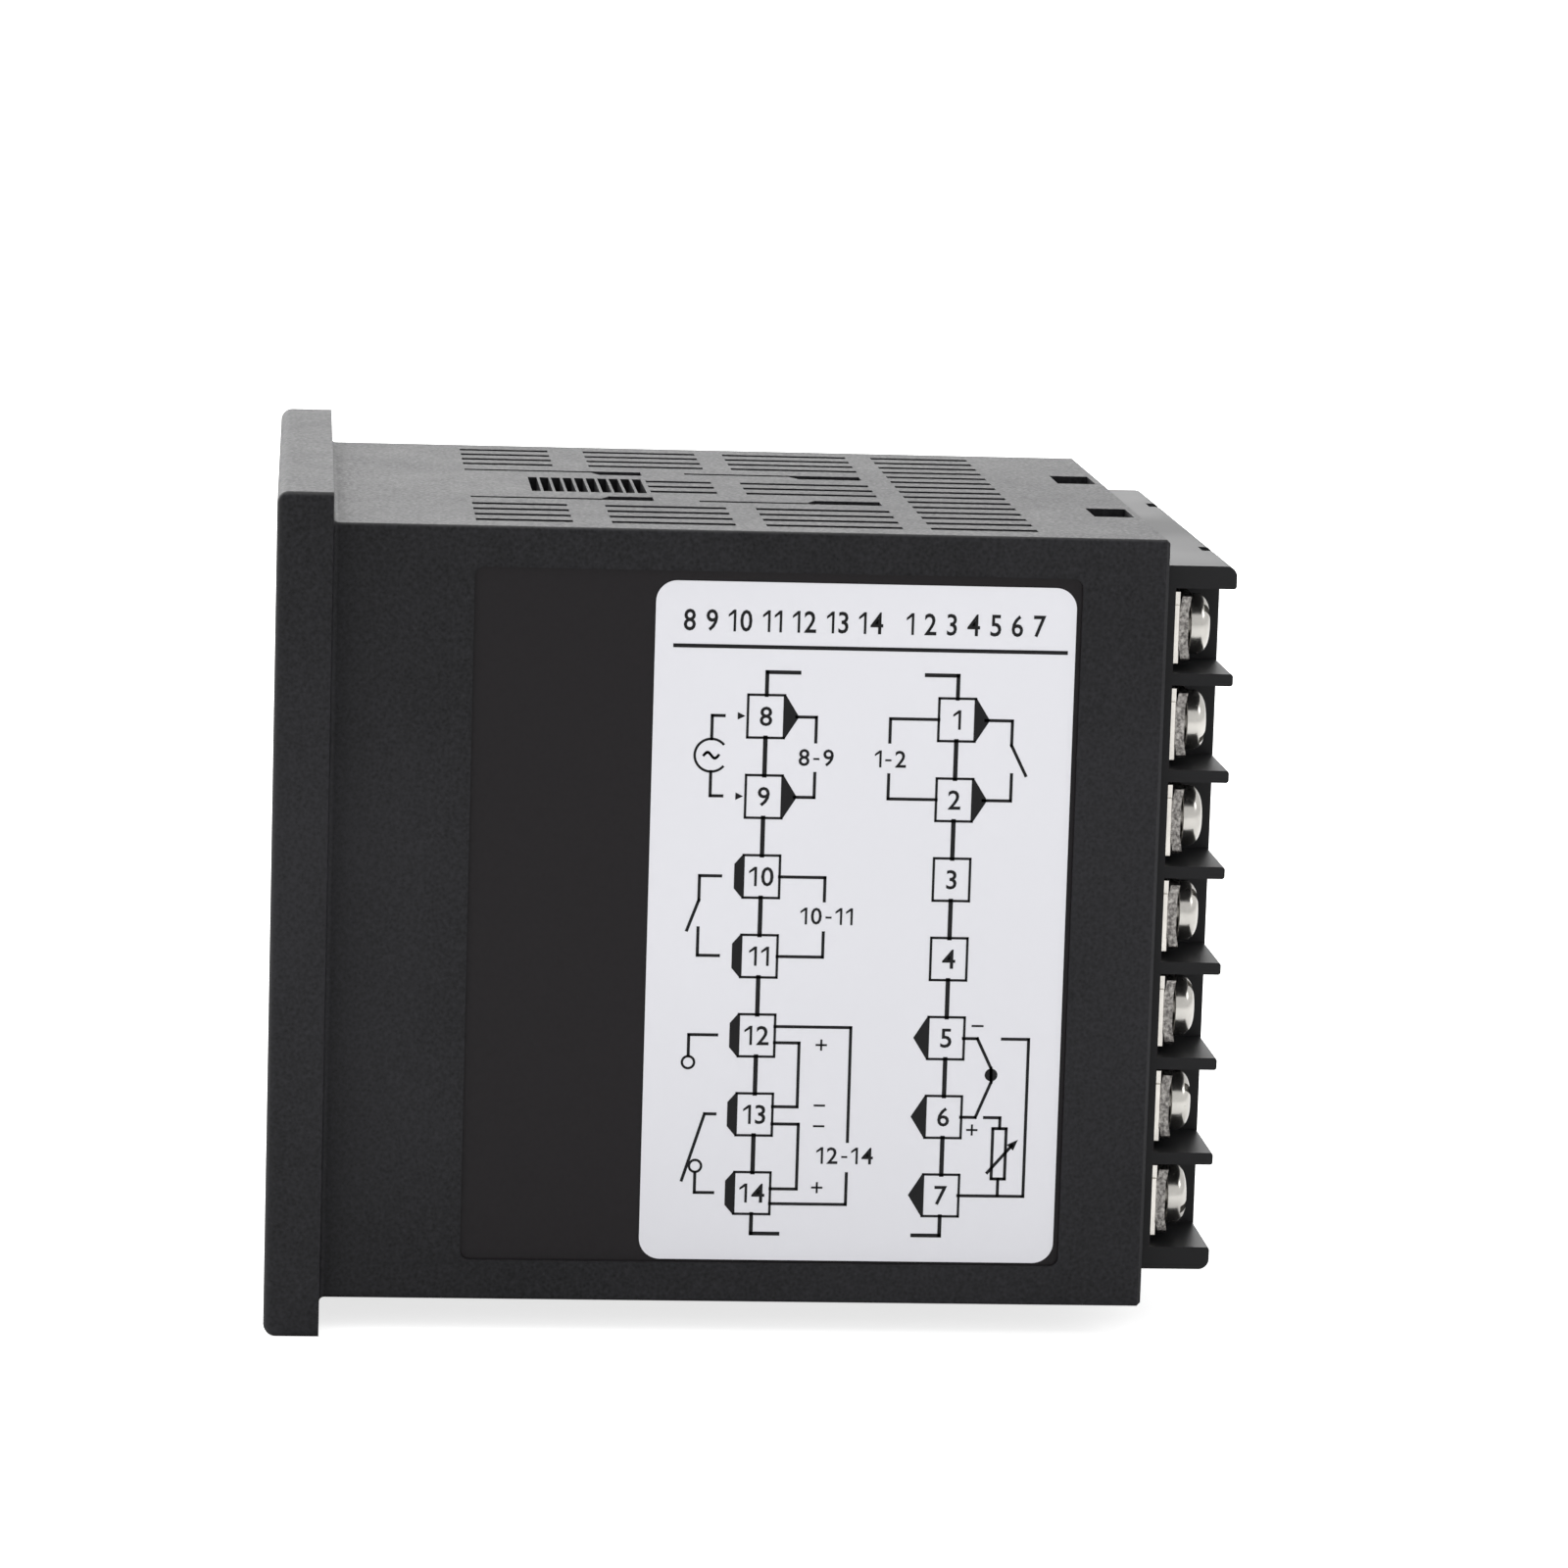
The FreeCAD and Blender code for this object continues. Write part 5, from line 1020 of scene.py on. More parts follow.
line((6.1, row(2)), (CONTACT, row(2)), (CONTACT, row(2) + 2.1), (3.35, row(2) + 4.7))
line((CONTACT, row(2) + 4.5), (CONTACT, row(3)), (6.1, row(3)))
line((6.15, row(4)), (COMMON, row(4)), (COMMON, row(4) + 1.85))
circle(COMMON, row(4) + 2.4, EYE)
line((6.2, row(5)), (5.3, row(5)), (3.5, row(5) + 5.8))
circle(THROW, row(5) + 4.55, EYE)
line((THROW, row(5) + 5.15), (THROW, row(6)), (6.2, row(6)))
print("left symbols drawn")

# %% [markdown]
# Between the columns, brackets join the terminals that belong together, and each is named by the numbers
# of its two terminals.

# %% Links between the columns
FROM_LEFT_BOX = LEFT_COLUMN + BOX_HALF_WIDTH
FROM_RIGHT_BOX = RIGHT_COLUMN - BOX_HALF_WIDTH
FROM_TIP = 12.15
LONG_LINK = 17.6
LINK_FIGURE = 1.45

open_bracket(FROM_TIP, 13.82, row(0), row(1), 13.5, 16.2)
open_bracket(FROM_LEFT_BOX, 14.97, row(2), row(3), row(2) + 2.0, row(3) - 2.1)
line((FROM_LEFT_BOX, row(4) - 0.8), (17.58, row(4) - 0.8), (LONG_LINK, row(4) + 9.1))
line((LONG_LINK, row(6) - 1.8), (LONG_LINK, row(6) + 0.9), (FROM_LEFT_BOX, row(6) + 0.9))
for far, first, last in ((13.2, row(4) + 0.6, row(5) - 0.7), (13.35, row(5) + 0.8, row(6) - 0.4)):
    line((FROM_LEFT_BOX, first), (far, first), (far, last), (FROM_LEFT_BOX, last))
open_bracket(FROM_RIGHT_BOX, 20.1, row(0), row(1), 13.4, 16.2)
for text, u, v in (("8-9", 13.9, 14.85), ("1-2", 20.2, 14.85), ("10-11", 15.2, 28.45), ("12-14", 17.4, 49.2)):
    label_text(text, u, v, LINK_FIGURE)
for v, plus in (
    (row(4) + 0.75, True), (row(5) - 0.85, False), (row(5) + 0.95, False), (row(6) - 0.55, True),
):
    polarity(15.1, v, plus)
print("links drawn")

# %% [markdown]
# Right of the right column stand one more switch and the sensors: a thermocouple, two wires that meet in
# a bead, and a resistance sensor, a box with an arrow through it. The underlined heading repeats the
# terminals' numbers, so that a fitter finds the column at once.

# %% Symbols right of the right column, and the heading
FROM_RIGHT_TIP = 28.2
FROM_RIGHT_SIDE = 27.25
BEAD = (29.73, 41.98)
SENSOR = 30.63
RESISTOR_TOP = 46.65
RESISTOR_END = 51.05
RESISTOR_SIDES = (30.05, 31.2)
RETURN = 32.85

line((FROM_RIGHT_TIP, row(0)), (30.47, row(0)), (30.47, 13.5), (31.75, 16.05))
line((30.55, 16.0), (30.55, row(1)), (FROM_RIGHT_TIP, row(1)))

wires_top = [(FROM_RIGHT_SIDE, row(4)), (28.45, row(4)), (29.7, 41.4)]
wires_end = [(29.75, 42.6), (28.5, row(5)), (FROM_RIGHT_SIDE, row(5))]
line(*wires_top, *wires_end)
disc_plate(drawing, (BEAD[0], label_tall - BEAD[1]), 0.55, INK)
polarity(28.425, row(4) - 1.1, False, 0.425)
polarity(28.25, row(5) + 1.1, True)

line((29.3, row(5)), (SENSOR, row(5)), (SENSOR, RESISTOR_TOP))
resistor = oblong(RESISTOR_SIDES[0], RESISTOR_TOP, RESISTOR_SIDES[1], RESISTOR_END)
line(*resistor, resistor[0])
line((29.7, 50.5), (31.75, 48.1))
shape((32.25, 47.6), (31.85, 48.55), (31.3, 48.05))
line((SENSOR, RESISTOR_END), (SENSOR, row(6)))
line((30.6, row(4)), (RETURN, row(4)), (RETURN, row(6)), (FROM_RIGHT_SIDE, row(6)))

line((1.7, 5.5), (34.8, 5.5), width=BRACKET)
label_text("8 9 10 11 12 13 14   1 2 3 4 5 6 7", 17.7, 3.3, 1.85, squeeze=0.86)
label_face = sheet_on((label_high.x, label_low.y, label_low.z), *RIGHT_SIDE)
finish_piece("label_print", drawing, label_face, ink, "case")

# %% [markdown]
# ## Terminal hardware
# Fourteen cells hold the same screw and saddle washer, so one of each is modelled and a Geometry Nodes
# tree lays it in two columns. Every such tree begins with named inputs and ends in the same way:
# copies on points, made real, with a material, because an export drops what is only an instance.

# %% Start and end of a tree
def start_tree(name, sockets):
    """A geometry tree with a mesh in, a mesh out and named inputs between."""
    tree = bpy.data.node_groups.new(name, "GeometryNodeTree")
    new_sockets(tree, "INPUT", {"Geometry": ("Geometry",), **sockets, "Material": ("Material",)})
    new_sockets(tree, "OUTPUT", {"Geometry": ("Geometry",)})
    return tree, add(tree, "NodeGroupInput").outputs


def combine(tree, **parts):
    return add(tree, "ShaderNodeCombineXYZ", parts).outputs[0]


def random_unit(tree, seed, **limits):
    """A random number per point from 0 to 1, or to Max; output 1 is the one for plain numbers."""
    return add(tree, "FunctionNodeRandomValue", {"Seed": seed, **limits}, data_type="FLOAT").outputs[1]


def copies_on_points(tree, material, inputs):
    """Copies on points, made real, with one material: the end of a tree."""
    copies = add(tree, "GeometryNodeInstanceOnPoints", inputs).outputs["Instances"]
    whole = add(tree, "GeometryNodeRealizeInstances", {"Geometry": copies}).outputs["Geometry"]
    coloured = add(tree, "GeometryNodeSetMaterial", {"Geometry": whole, "Material": material})
    add(tree, "NodeGroupOutput", {"Geometry": coloured.outputs["Geometry"]})


print("tree helpers ready")

# %% [markdown]
# A fitter never leaves the slots in line: a random turn, with a fixed seed, gives every screw its own. The
# sizes of the two columns are inputs, so the same tree serves the screws and the washers.

# %% A tree that lays a piece in two columns
def columns_tree(name):
    """Copies the object's own mesh to a grid of places, turns each copy, and gives it a material."""
    tree, given = start_tree(name, {
        "Spread": ("Float", 0.05), "Pitch": ("Float", 0.008), "Count": ("Int", 7), "Level": ("Float", 0.0),
        "Turn": ("Float", 0.0), "Seed": ("Int", 1),
    })
    length = math_node(tree, "MULTIPLY", given["Pitch"], math_node(tree, "SUBTRACT", given["Count"], 1.0))
    grid = add(tree, "GeometryNodeMeshGrid", {
        "Size X": given["Spread"], "Size Y": length, "Vertices X": 2, "Vertices Y": given["Count"],
    }).outputs["Mesh"]
    upright = add(tree, "GeometryNodeTransform", {
        "Geometry": grid, "Translation": combine(tree, Y=given["Level"]), "Rotation": (math.pi / 2, 0, 0),
    }).outputs["Geometry"]
    turn = combine(tree, Y=random_unit(tree, given["Seed"], Max=given["Turn"]))
    copies_on_points(tree, given["Material"], {
        "Points": upright, "Instance": given["Geometry"], "Rotation": turn,
    })
    return tree


two_columns = columns_tree("two_columns")
print("columns tree:", len(two_columns.nodes), "nodes")

# %% [markdown]
# Running a tree takes a passing object: its mesh is the master, its modifier holds the tree, and the result
# is kept as a plain mesh. The modifier's inputs are found by the identifiers of their sockets and
# set before anything is evaluated.

# %% Run a tree and keep a plain piece
def bake_tree(name, mesh, tree, settings, body, sharp_from):
    """Runs a tree on a master mesh in millimetres and keeps the result as one plain piece."""
    bmesh.ops.scale(mesh, vec=(MM, MM, MM), verts=mesh.verts)
    bmesh.ops.recalc_face_normals(mesh, faces=mesh.faces)
    master = bpy.data.meshes.new(name + "_master")
    mesh.to_mesh(master)
    mesh.free()
    smoothed(master, sharp_from)
    holder = bpy.data.objects.new(name, master)
    bpy.context.scene.collection.objects.link(holder)
    modifier = holder.modifiers.new("copies", "NODES")
    modifier.node_group = tree
    for socket in tree.interface.items_tree:
        if socket.in_out == "INPUT" and socket.name in settings:
            modifier[socket.identifier] = settings[socket.name]
    bpy.context.view_layer.update()
    evaluated = holder.evaluated_get(bpy.context.evaluated_depsgraph_get())
    baked = bpy.data.meshes.new_from_object(evaluated)
    holder.modifiers.remove(modifier)
    holder.data = baked
    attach(holder, body)
    print(f"{name}: {len(baked.polygons)} faces")
    return holder


HEAD_RADIUS = 2.65
CELL_PITCH = 8.35
CELL_COUNT = 7
screw_low, screw_high = corners("terminal_screws")
screw_reach = screw_high.x - HEAD_RADIUS
column_settings = {"Spread": 2 * screw_reach * MM, "Pitch": CELL_PITCH * MM, "Count": CELL_COUNT}
print("screws at", round(screw_reach, 2))

# %% [markdown]
# The screw has a pan head: an upright skirt, a quick round and a low dome. It is one profile turned about
# the screw's axis. The driver recess, a slot with a short cross, is cut by a Boolean, which suits
# a small master better than hand-made faces.

# %% Turning and cutting
def lathe(profile, steps=48):
    """Turns a profile of radius and height about the Y axis; points on the axis close it."""
    mesh = bmesh.new()
    turns = [2 * math.pi * step / steps for step in range(steps)]
    rings = []
    for radius, level in profile:
        angles = turns if radius else [0.0]
        rings.append([mesh.verts.new((radius * math.cos(a), level, radius * math.sin(a))) for a in angles])
    for lower, upper in zip(rings, rings[1:]):
        for index in range(steps):
            following = (index + 1) % steps
            face = [lower[index % len(lower)], lower[following % len(lower)]]
            face += [upper[following % len(upper)], upper[index % len(upper)]]
            unique = list(dict.fromkeys(face))
            if len(unique) > 2:
                mesh.faces.new(unique)
    bmesh.ops.recalc_face_normals(mesh, faces=mesh.faces)
    return mesh


def loose_object(name, mesh):
    """An object for a passing use, made of a working mesh, which it uses up."""
    data = bpy.data.meshes.new(name)
    mesh.to_mesh(data)
    mesh.free()
    made = bpy.data.objects.new(name, data)
    bpy.context.scene.collection.objects.link(made)
    return made


def cut_boxes(mesh, boxes):
    """Takes boxes, each given by its size and centre, out of a closed mesh."""
    body = loose_object("cut_body", mesh)
    for size, centre in boxes:
        block = bmesh.new()
        bmesh.ops.create_cube(block, size=1.0)
        bmesh.ops.scale(block, vec=size, verts=block.verts)
        bmesh.ops.translate(block, vec=centre, verts=block.verts)
        cutter = loose_object("cutter", block)
        modifier = body.modifiers.new("cut", "BOOLEAN")
        modifier.operation = "DIFFERENCE"
        modifier.solver = "EXACT"
        modifier.object = cutter
        bpy.context.view_layer.update()
        evaluated = body.evaluated_get(bpy.context.evaluated_depsgraph_get())
        left_over = bpy.data.meshes.new_from_object(evaluated)
        body.modifiers.remove(modifier)
        body.data = left_over
        bpy.data.objects.remove(cutter)
    made = bmesh.new()
    made.from_mesh(body.data)
    bpy.data.objects.remove(body)
    return made


print("lathe and cutter ready")

# %% [markdown]
# The profile runs from the screw's tip to the top of its head, a quarter of an ellipse standing in for the
# dome. The master screw sits on its seat at y = 0, and the tree's level carries it to the washers.

# %% The terminal screw
HEAD_HEIGHT = 1.95
SKIRT = 0.75
SHANK_RADIUS = 1.42
SHANK_TIP = 1.1
SHANK_BEVEL = 0.35
HEAD_EDGE = 0.08
CROWN_RADIUS = 0.42
CROWN_DROP = 0.10
DOME_STEPS = 9
SLOT_WIDTH = 0.75
SLOT_DEPTH = 0.75
CROSS_LENGTH = 2.9

head_seat = screw_high.y - HEAD_HEIGHT
profile = [
    (0, screw_low.y), (SHANK_TIP, screw_low.y), (SHANK_RADIUS, screw_low.y + SHANK_BEVEL),
    (SHANK_RADIUS, head_seat), (HEAD_RADIUS - HEAD_EDGE, head_seat), (HEAD_RADIUS, head_seat + HEAD_EDGE),
]
for step in range(DOME_STEPS + 1):
    angle = math.pi / 2 * step / DOME_STEPS
    radius = HEAD_RADIUS * (CROWN_RADIUS + (1 - CROWN_RADIUS) * math.cos(angle))
    profile.append((radius, head_seat + SKIRT + (HEAD_HEIGHT - SKIRT - CROWN_DROP) * math.sin(angle)))
profile.append((0, screw_high.y))
screw = lathe(profile)
bmesh.ops.translate(screw, vec=(0, -head_seat, 0), verts=screw.verts)

slot_level = HEAD_HEIGHT - SLOT_DEPTH
screw = cut_boxes(screw, [
    ((2 * HEAD_RADIUS + 1, 2.0, SLOT_WIDTH), (0, slot_level + 1.0, 0)),
    ((CROSS_LENGTH, 2.6, SLOT_WIDTH), (0, slot_level + 0.75, 0)),
    ((SLOT_WIDTH, 2.6, CROSS_LENGTH), (0, slot_level + 0.75, 0)),
])
screw_settings = dict(column_settings, Level=head_seat * MM, Turn=math.pi, Seed=11, Material=screw_plate)
screws = bake_tree("turned_screws", screw, two_columns, screw_settings, "case", 35)
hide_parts("terminal_screws")

# %% [markdown]
# The saddle washer is a square of pressed steel whose upper and lower ends are bent away from the
# contact, so that a wire slides under them. Its ends are serrated to bite. It is drawn as rings
# of points from the bore to the rim, with every second point of the two ends drawn in.

# %% The saddle washer
WASHER_HALF = 2.92
WASHER_FLAT = 1.4
WASHER_THICK = 0.8
WASHER_LIFT = 0.25
BORE = 1.52
WASHER_POINTS = 72
SERRATION = 0.12
RING_SHARES = (0.0, 0.35, 0.7, 1.0)


def washer_mesh():
    """A square plate with a round hole; the rows beyond the flat rise, the outermost is serrated."""
    mesh = bmesh.new()
    spokes = []
    for step in range(WASHER_POINTS):
        angle = 2 * math.pi * (step + 0.5) / WASHER_POINTS
        direction = Vector((math.cos(angle), math.sin(angle)))
        rim = direction * (WASHER_HALF / max(abs(direction.x), abs(direction.y)))
        if abs(rim.y) > WASHER_HALF - 0.01:
            rim.y -= math.copysign(SERRATION * (step % 2), rim.y)
        spokes.append((direction * BORE, rim))
    rings = []
    for level in (0.0, WASHER_THICK):
        for share in RING_SHARES:
            rings.append([])
            for bore, rim in spokes:
                spot = bore.lerp(rim, share)
                beyond = max(0.0, abs(spot.y) - WASHER_FLAT) / (WASHER_HALF - WASHER_FLAT)
                rings[-1].append(mesh.verts.new((spot.x, level + WASHER_LIFT * beyond, spot.y)))
    half = len(RING_SHARES)
    order = rings[:half] + list(reversed(rings[half:]))
    for first, second in zip(order, order[1:] + order[:1]):
        for index in range(WASHER_POINTS):
            following = (index + 1) % WASHER_POINTS
            mesh.faces.new((first[index], first[following], second[following], second[index]))
    return mesh


washer_level = corners("clamp_washers")[0].y
washer_settings = dict(column_settings, Level=washer_level * MM, Turn=0.0, Seed=3, Material=washer_plate)
washers = bake_tree(
    "saddle_washers", washer_mesh(), two_columns, washer_settings, "case", 25
)
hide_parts("clamp_washers")

# %% [markdown]
# The rear of the block numbers its cells, 1 to 7 in one column and 8 to 14 in the other, in pale print
# beside each cell.

# %% Numbers beside the cells
NUMBER_REACH = 17.6
NUMBER_TALL = 2.4
block_rear = corners("terminal_base")[1].y
numbers = bmesh.new()
for index in range(CELL_COUNT):
    v = (3 - index) * CELL_PITCH
    write(numbers, str(index + 1), (NUMBER_REACH, v), NUMBER_TALL)
    write(numbers, str(index + 8), (-NUMBER_REACH, v), NUMBER_TALL)
number_place = sheet_on((0, block_rear, 0), *REAR_SIDE)
finish_piece("cell_numbers", numbers, number_place, pale_ink, "case")

# %% [markdown]
# ## The display
# Behind the smoked window stand two seven-segment modules and a column of lamps. Unlit segments are pale
# shapes in a dark face. One function draws a digit from seven six-cornered bars, and a slant of a
# few degrees is applied to the whole drawing.

# %% Seven-segment digits
SEGMENT_THICK = 0.05
SLANT = 0.12


def digit(mesh, left, bottom, wide, tall, bar):
    """One digit of seven bars with pointed ends and a dot at its lower right."""
    gap = bar * 0.14
    half = bar / 2
    right = left + wide

    def bar_between(u0, v0, u1, v1):
        along = Vector((u1 - u0, v1 - v0)).normalized()
        side = Vector((-along.y, along.x)) * half
        start = Vector((u0, v0)) + along * gap
        end = Vector((u1, v1)) - along * gap
        near = start + along * half
        far = end - along * half
        plate(mesh, [start, near - side, far - side, end, far + side, near + side], SEGMENT_THICK)

    low, middle, high = bottom, bottom + tall / 2, bottom + tall
    for v in (low, middle, high):
        bar_between(left, v, right, v)
    for u in (left, right):
        bar_between(u, low, u, middle)
        bar_between(u, middle, u, high)
    disc_plate(mesh, (right + bar * 1.25, bottom), bar * 0.42, SEGMENT_THICK, steps=16)


def display(name, node, digits, tall):
    """A row of digits on the face of a display module."""
    low, high = corners(node)
    pitch = (high.x - low.x) / digits
    wide = tall * 0.52
    bar = tall * 0.125
    module_tall = high.z - low.z
    mesh = bmesh.new()
    for index in range(digits):
        left = (index + 0.5) * pitch - wide / 2 - bar * 0.4
        digit(mesh, left, (module_tall - tall) / 2, wide, tall, bar)
    for vert in mesh.verts:
        vert.co.x += SLANT * (vert.co.y - module_tall / 2)
    finish_piece(name, mesh, sheet_on(low, *FRONT_SIDE), segment_white, "chassis")


display("main_segments", "main_digits", 4, 14.2)
display("set_segments", "set_digits", 4, 10.0)

# %% [markdown]
# The back of the window is printed black around its openings, one for each row of digits and one for
# each lamp, so that nothing else of the inside shows. The print is a grid of cells with the openings
# left out. A thin dark frame lines each opening back to the part behind it and keeps stray light out.

# %% Plates round openings
LINING_WALL = 0.3


def mask_plates(mesh, outer, openings, thickness):
    """Fills a rectangle with plates, but leaves out rectangular openings (left, bottom, right, top)."""
    us = sorted({edge for box in [outer] + openings for edge in (box[0], box[2])})
    vs = sorted({edge for box in [outer] + openings for edge in (box[1], box[3])})
    for left, right in zip(us, us[1:]):
        for bottom, top in zip(vs, vs[1:]):
            u, v = (left + right) / 2, (bottom + top) / 2
            if not any(o[0] < u < o[2] and o[1] < v < o[3] for o in openings):
                plate(mesh, oblong(left, bottom, right, top), thickness)


def inset(low, high, margin):
    """The front of a solid as left, bottom, right and top, drawn in by a margin."""
    return low.x + margin, low.z + margin, high.x - margin, high.z - margin


def lining(mesh, hole, depth):
    """Four thin walls round an opening that reach back from the print."""
    left, bottom, right, top = hole
    for wall in (
        (left - LINING_WALL, bottom - LINING_WALL, left, top + LINING_WALL),
        (right, bottom - LINING_WALL, right + LINING_WALL, top + LINING_WALL),
        (left, bottom - LINING_WALL, right, bottom),
        (left, top, right, top + LINING_WALL),
    ):
        plate(mesh, oblong(*wall), depth, -depth)


print("mask tools ready")

# %% [markdown]
# The openings follow the fronts of the modules behind them, a little smaller, and each remembers how far
# back its module's face lies, because that is where its lining ends.

# %% The window's black mask
MASK_INSET = 1.4
MASK_GAP = 0.05
MASK_THICK = 0.03
LINING_GAP = 0.02
DIGIT_MARGIN = 0.5
LAMP_MARGIN = 0.3
LAMP_PITCH = 3.0
LAMP_HALF = 0.85

window_low, window_high = corners("display_window")
mask_level = window_high.y + MASK_GAP
holes = []
for node in ("main_digits", "set_digits"):
    low, high = corners(node)
    holes.append((inset(low, high, DIGIT_MARGIN), low.y))
low, high = corners("indicator_lamps")
for index in range(5):
    v = (low.z + high.z) / 2 + (index - 2) * LAMP_PITCH
    holes.append(((low.x + LAMP_MARGIN, v - LAMP_HALF, high.x - LAMP_MARGIN, v + LAMP_HALF), low.y))
mask = bmesh.new()
mask_plates(mask, inset(window_low, window_high, MASK_INSET), [hole for hole, face in holes], MASK_THICK)
for hole, face in holes:
    lining(mask, hole, face - mask_level - LINING_GAP)
mask_place = sheet_on((0, mask_level, 0), *FRONT_SIDE)
finish_piece("window_mask", mask, mask_place, digit_face, "chassis")

# %% [markdown]
# The keys are told apart by signs: a ring to set, an arrow to the left, one down and one up. They are
# printed on the caps and move with them.

# %% Signs on the keys
ARROW_RADIUS = 1.0
RING_RADIUS = 0.85
RING_WIDTH = 0.3


def key_sign(key, draw):
    """Draws one sign round the middle of a key's cap."""
    low, high = corners(f"key_{key}")
    mesh = bmesh.new()
    draw(mesh)
    place = sheet_on(((low.x + high.x) / 2, low.y, (low.z + high.z) / 2), *FRONT_SIDE)
    finish_piece(f"sign_{key}", mesh, place, pale_ink, f"key_{key}")


def arrow(turn):
    """A filled triangle that points up, turned by an angle in degrees."""
    outline = [around((0, 0), ARROW_RADIUS, math.radians(turn + corner)) for corner in (90, 210, 330)]
    return lambda mesh: plate(mesh, outline, INK)


key_sign("set", lambda mesh: ring(mesh, (0, 0), RING_RADIUS, RING_WIDTH, INK))
key_sign("shift", arrow(90))
key_sign("down", arrow(180))
key_sign("up", arrow(0))

# %% [markdown]
# ## The boards
# When the chassis is drawn out, the outer faces of both side boards come into view: the soldered side. A
# second Geometry Nodes tree puts a small piece on every point of a mesh. With a cone it makes
# solder joints; with a block, or two blocks side by side, it makes the bodies and the tinned ends of
# surface-mounted parts. A random quarter turn, with the same seed for both, keeps ends on bodies.

# %% A tree that sets a small piece on every point
CONE_FOOT = 0.5
CONE_TOP = 0.22


def switch(tree, condition, off, on):
    inputs = {"Switch": condition, "False": off, "True": on}
    return add(tree, "GeometryNodeSwitch", inputs, input_type="GEOMETRY").outputs[0]


def moved(tree, geometry, **change):
    return add(tree, "GeometryNodeTransform", {"Geometry": geometry, **change}).outputs["Geometry"]


def points_tree(name):
    """Sets a block, a pair of blocks or a cone on every point, its height along X."""
    tree, given = start_tree(name, {
        "Size": ("Vector", (0.0005, 0.001, 0.001)), "Apart": ("Float", 0.0), "Cone": ("Bool", False),
        "Turned": ("Bool", False), "Seed": ("Int", 1), "Uneven": ("Float", 0.0),
    })
    height, width, _ = split(tree, given["Size"])
    cube = add(tree, "GeometryNodeMeshCube", {"Size": given["Size"]}).outputs["Mesh"]
    pair = add(tree, "GeometryNodeJoinGeometry")
    for side in (-0.5, 0.5):
        shift = combine(tree, Y=math_node(tree, "MULTIPLY", given["Apart"], side))
        tree.links.new(moved(tree, cube, Translation=shift), pair.inputs["Geometry"])
    is_pair = math_node(tree, "GREATER_THAN", given["Apart"], 0.0)
    blocks = switch(tree, is_pair, cube, pair.outputs["Geometry"])
    cone = add(tree, "GeometryNodeMeshCone", {
        "Vertices": 12, "Side Segments": 3, "Radius Top": math_node(tree, "MULTIPLY", width, CONE_TOP),
        "Radius Bottom": math_node(tree, "MULTIPLY", width, CONE_FOOT), "Depth": height,
    }).outputs["Mesh"]
    chosen = switch(tree, given["Cone"], blocks, moved(tree, cone, Rotation=(0, math.pi / 2, 0)))
    unit = random_unit(tree, given["Seed"])
    quarter = math_node(tree, "MULTIPLY", math_node(tree, "GREATER_THAN", unit, 0.5), given["Turned"])
    turn = combine(tree, X=math_node(tree, "MULTIPLY", quarter, math.pi / 2))
    scale = math_node(tree, "SUBTRACT", 1.0, math_node(tree, "MULTIPLY", unit, given["Uneven"]))
    copies_on_points(tree, given["Material"], {
        "Points": given["Geometry"], "Instance": chosen, "Rotation": turn,
        "Scale": combine(tree, X=1.0, Y=scale, Z=scale),
    })
    return tree


on_points = points_tree("on_points")


def set_on(name, places, settings):
    """Runs the tree on places given in millimetres."""
    mesh = bmesh.new()
    for place in places:
        mesh.verts.new(place)
    bake_tree(name, mesh, on_points, settings, "chassis", 40)


print("points tree:", len(on_points.nodes), "nodes")

# %% [markdown]
# Every leaded part gives a grid of joints on the far side of its board, taken from the part's own box, so
# joints and parts agree. The table names for each part how many joints it has along and up.

# %% Solder joints
POWER_PARTS = {
    "transformer_bobbin": (2, 4), "output_relay_front": (3, 2), "output_relay_rear": (3, 2),
    "filter_capacitor": (2, 1), "small_capacitors": (4, 1), "bridge_rectifier": (2, 1), "fuse_clips": (2, 2),
    "varistor": (2, 1), "voltage_regulator": (1, 3),
}
CONTROL_PARTS = {
    "alarm_relay": (3, 2), "optocouplers": (6, 2), "film_capacitors": (2, 2), "crystal": (2, 1),
    "resistor_network": (8, 1),
}
JOINT_HEIGHT = 0.7
JOINT_WIDTH = 1.9
EDGE_ZONE = 7.0
power_low, power_high = corners("power_board")
control_low, control_high = corners("control_board")


def joint_places(parts, level):
    """The places of joints at a level in X, clear of the edge fields at the rear."""
    places = []
    for name, (along, upright) in parts.items():
        low, high = corners(name)
        for i in range(along):
            for k in range(upright):
                y = low.y + (high.y - low.y) * (i + 0.5) / along
                z = low.z + (high.z - low.z) * (k + 0.5) / upright
                if y < power_high.y - EDGE_ZONE:
                    places.append((level, y, z))
    return places


power_joints = joint_places(POWER_PARTS, power_high.x + JOINT_HEIGHT / 2)
control_joints = joint_places(CONTROL_PARTS, control_low.x - JOINT_HEIGHT / 2)
for name, joints, outward in (("power", power_joints, 1), ("control", control_joints, -1)):
    set_on(f"{name}_joints", joints, {
        "Size": (outward * JOINT_HEIGHT * MM, JOINT_WIDTH * MM, JOINT_WIDTH * MM), "Cone": True,
        "Uneven": 0.2, "Seed": 4, "Material": solder,
    })

# %% [markdown]
# The rear edge of each side board carries gold-plated fields that meet the terminals' legs, one field for
# each cell, at the same pitch.

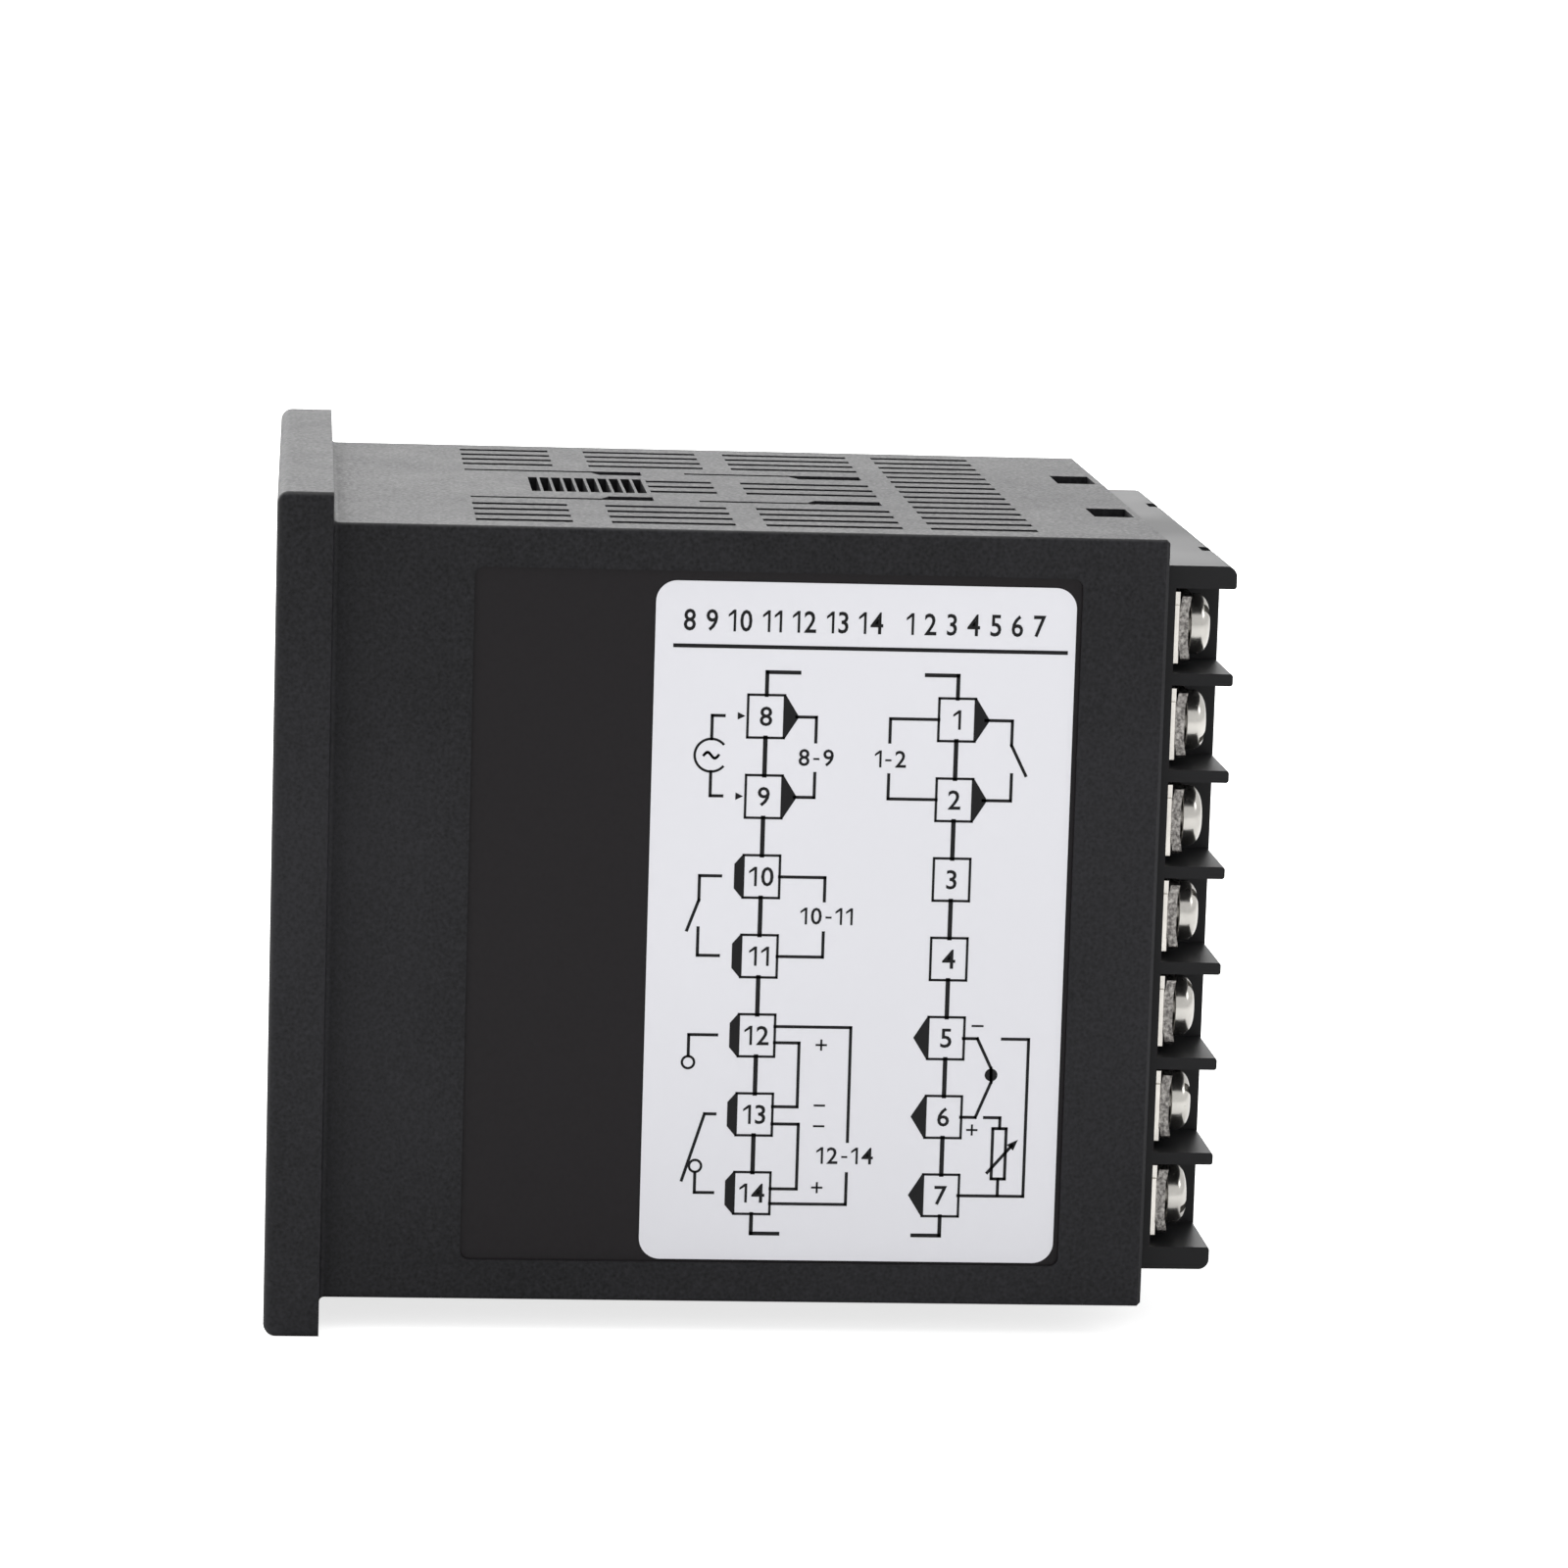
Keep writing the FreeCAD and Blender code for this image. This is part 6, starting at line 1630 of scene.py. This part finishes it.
# %% Edge fields
FIELD_LENGTH = 5.6
FIELD_HALF = 1.9
FIELD_MARGIN = 0.5
FIELD_THICK = 0.03
for name, level, turned in (("power", power_high.x, RIGHT_SIDE), ("control", control_low.x, LEFT_SIDE)):
    fields = bmesh.new()
    forward = turned[0][1]
    rear = power_high.y - FIELD_MARGIN
    first, last = sorted((forward * rear, forward * (rear - FIELD_LENGTH)))
    for index in range(CELL_COUNT):
        v = (index - 3) * CELL_PITCH
        plate(fields, oblong(first, v - FIELD_HALF, last, v + FIELD_HALF), FIELD_THICK)
    place = sheet_on((level, 0, 0), *turned)
    finish_piece(f"{name}_edge_fields", fields, place, gold_plate, "chassis")

# %% [markdown]
# Surface-mounted parts fill the free places of a grid. A place counts as free when it is clear of every
# joint; a seeded generator skips some, so the rows look laid out rather than stamped.

# %% Surface-mounted parts
GRID_START = (4.5, -24.6)
GRID_COUNTS = (12, 13)
GRID_PITCH = 4.1
CLEAR = 2.6
SHARE = 0.5
PART_HEIGHT = 0.55
END_RISE = 0.04
picks = random.Random(7)


def free_places(taken, level):
    """Places of a grid on a board's outer face that keep clear of what is already there."""
    places = []
    for i in range(GRID_COUNTS[0]):
        for k in range(GRID_COUNTS[1]):
            y = power_low.y + GRID_START[0] + i * GRID_PITCH
            z = GRID_START[1] + k * GRID_PITCH
            near_taken = any(abs(y - joint[1]) < CLEAR and abs(z - joint[2]) < CLEAR for joint in taken)
            if not near_taken and picks.random() < SHARE:
                places.append((level, y, z))
    return places


turned_alike = {"Turned": True, "Seed": 9}
body_settings = dict(
    turned_alike, Size=(PART_HEIGHT * MM, 1.3 * MM, 1.15 * MM), Material=component_black
)
end_settings = dict(
    turned_alike, Size=((PART_HEIGHT + END_RISE) * MM, 0.4 * MM, 1.2 * MM), Apart=1.65 * MM, Material=solder
)
for name, taken, face, outward in (
    ("power", power_joints, power_high.x, 1), ("control", control_joints, control_low.x, -1),
):
    places = free_places(taken, face + outward * PART_HEIGHT / 2)
    set_on(f"{name}_part_bodies", places, body_settings)
    set_on(f"{name}_part_ends", places, end_settings)

# %% [markdown]
# On the component side, white lines frame each part, as an assembler's guide.

# %% Silk-screen frames
FRAME_MARGIN = 0.4
FRAME_LINE = 0.16
for name, parts, level, turned in (
    ("power", POWER_PARTS, power_low.x, LEFT_SIDE), ("control", CONTROL_PARTS, control_high.x, RIGHT_SIDE),
):
    frames = bmesh.new()
    forward = turned[0][1]
    for part in parts:
        low, high = corners(part)
        left, right = sorted((forward * (low.y - FRAME_MARGIN), forward * (high.y + FRAME_MARGIN)))
        outline = oblong(left, low.z - FRAME_MARGIN, right, high.z + FRAME_MARGIN)
        stroke(frames, outline + outline[:1], FRAME_LINE, INK)
    place = sheet_on((level, 0, 0), *turned)
    finish_piece(f"{name}_silk_screen", frames, place, pale_ink, "chassis")

# %% [markdown]
# A relay's moulded lid has a shallow raised panel and, in one corner, the nub of its vent. The three lids
# look outwards from their boards, so each is drawn on its own face and all become one piece.

# %% Relay lids
LID_MARGIN = 1.2
LID_RISE = 0.12
NUB_MARGIN = 2.6
NUB_RADIUS = 0.7
NUB_RISE = 0.3
lids = bmesh.new()
for part, turned in (
    ("output_relay_front", LEFT_SIDE), ("output_relay_rear", LEFT_SIDE), ("alarm_relay", RIGHT_SIDE),
):
    low, high = corners(part)
    outward = turned[0][1]
    face = low.x if outward < 0 else high.x
    left, right = sorted((outward * low.y, outward * high.y))
    lid = bmesh.new()
    panel = oblong(left + LID_MARGIN, low.z + LID_MARGIN, right - LID_MARGIN, high.z - LID_MARGIN)
    plate(lid, panel, LID_RISE)
    disc_plate(lid, (left + NUB_MARGIN, high.z - NUB_MARGIN), NUB_RADIUS, NUB_RISE)
    bmesh.ops.transform(lid, matrix=sheet_on((face, 0, 0), *turned), verts=lid.verts)
    joined = bpy.data.meshes.new("lid")
    lid.to_mesh(joined)
    lid.free()
    lids.from_mesh(joined)
    bpy.data.meshes.remove(joined)
finish_piece("relay_lids", lids, Matrix.Identity(4), relay_blue, "chassis")
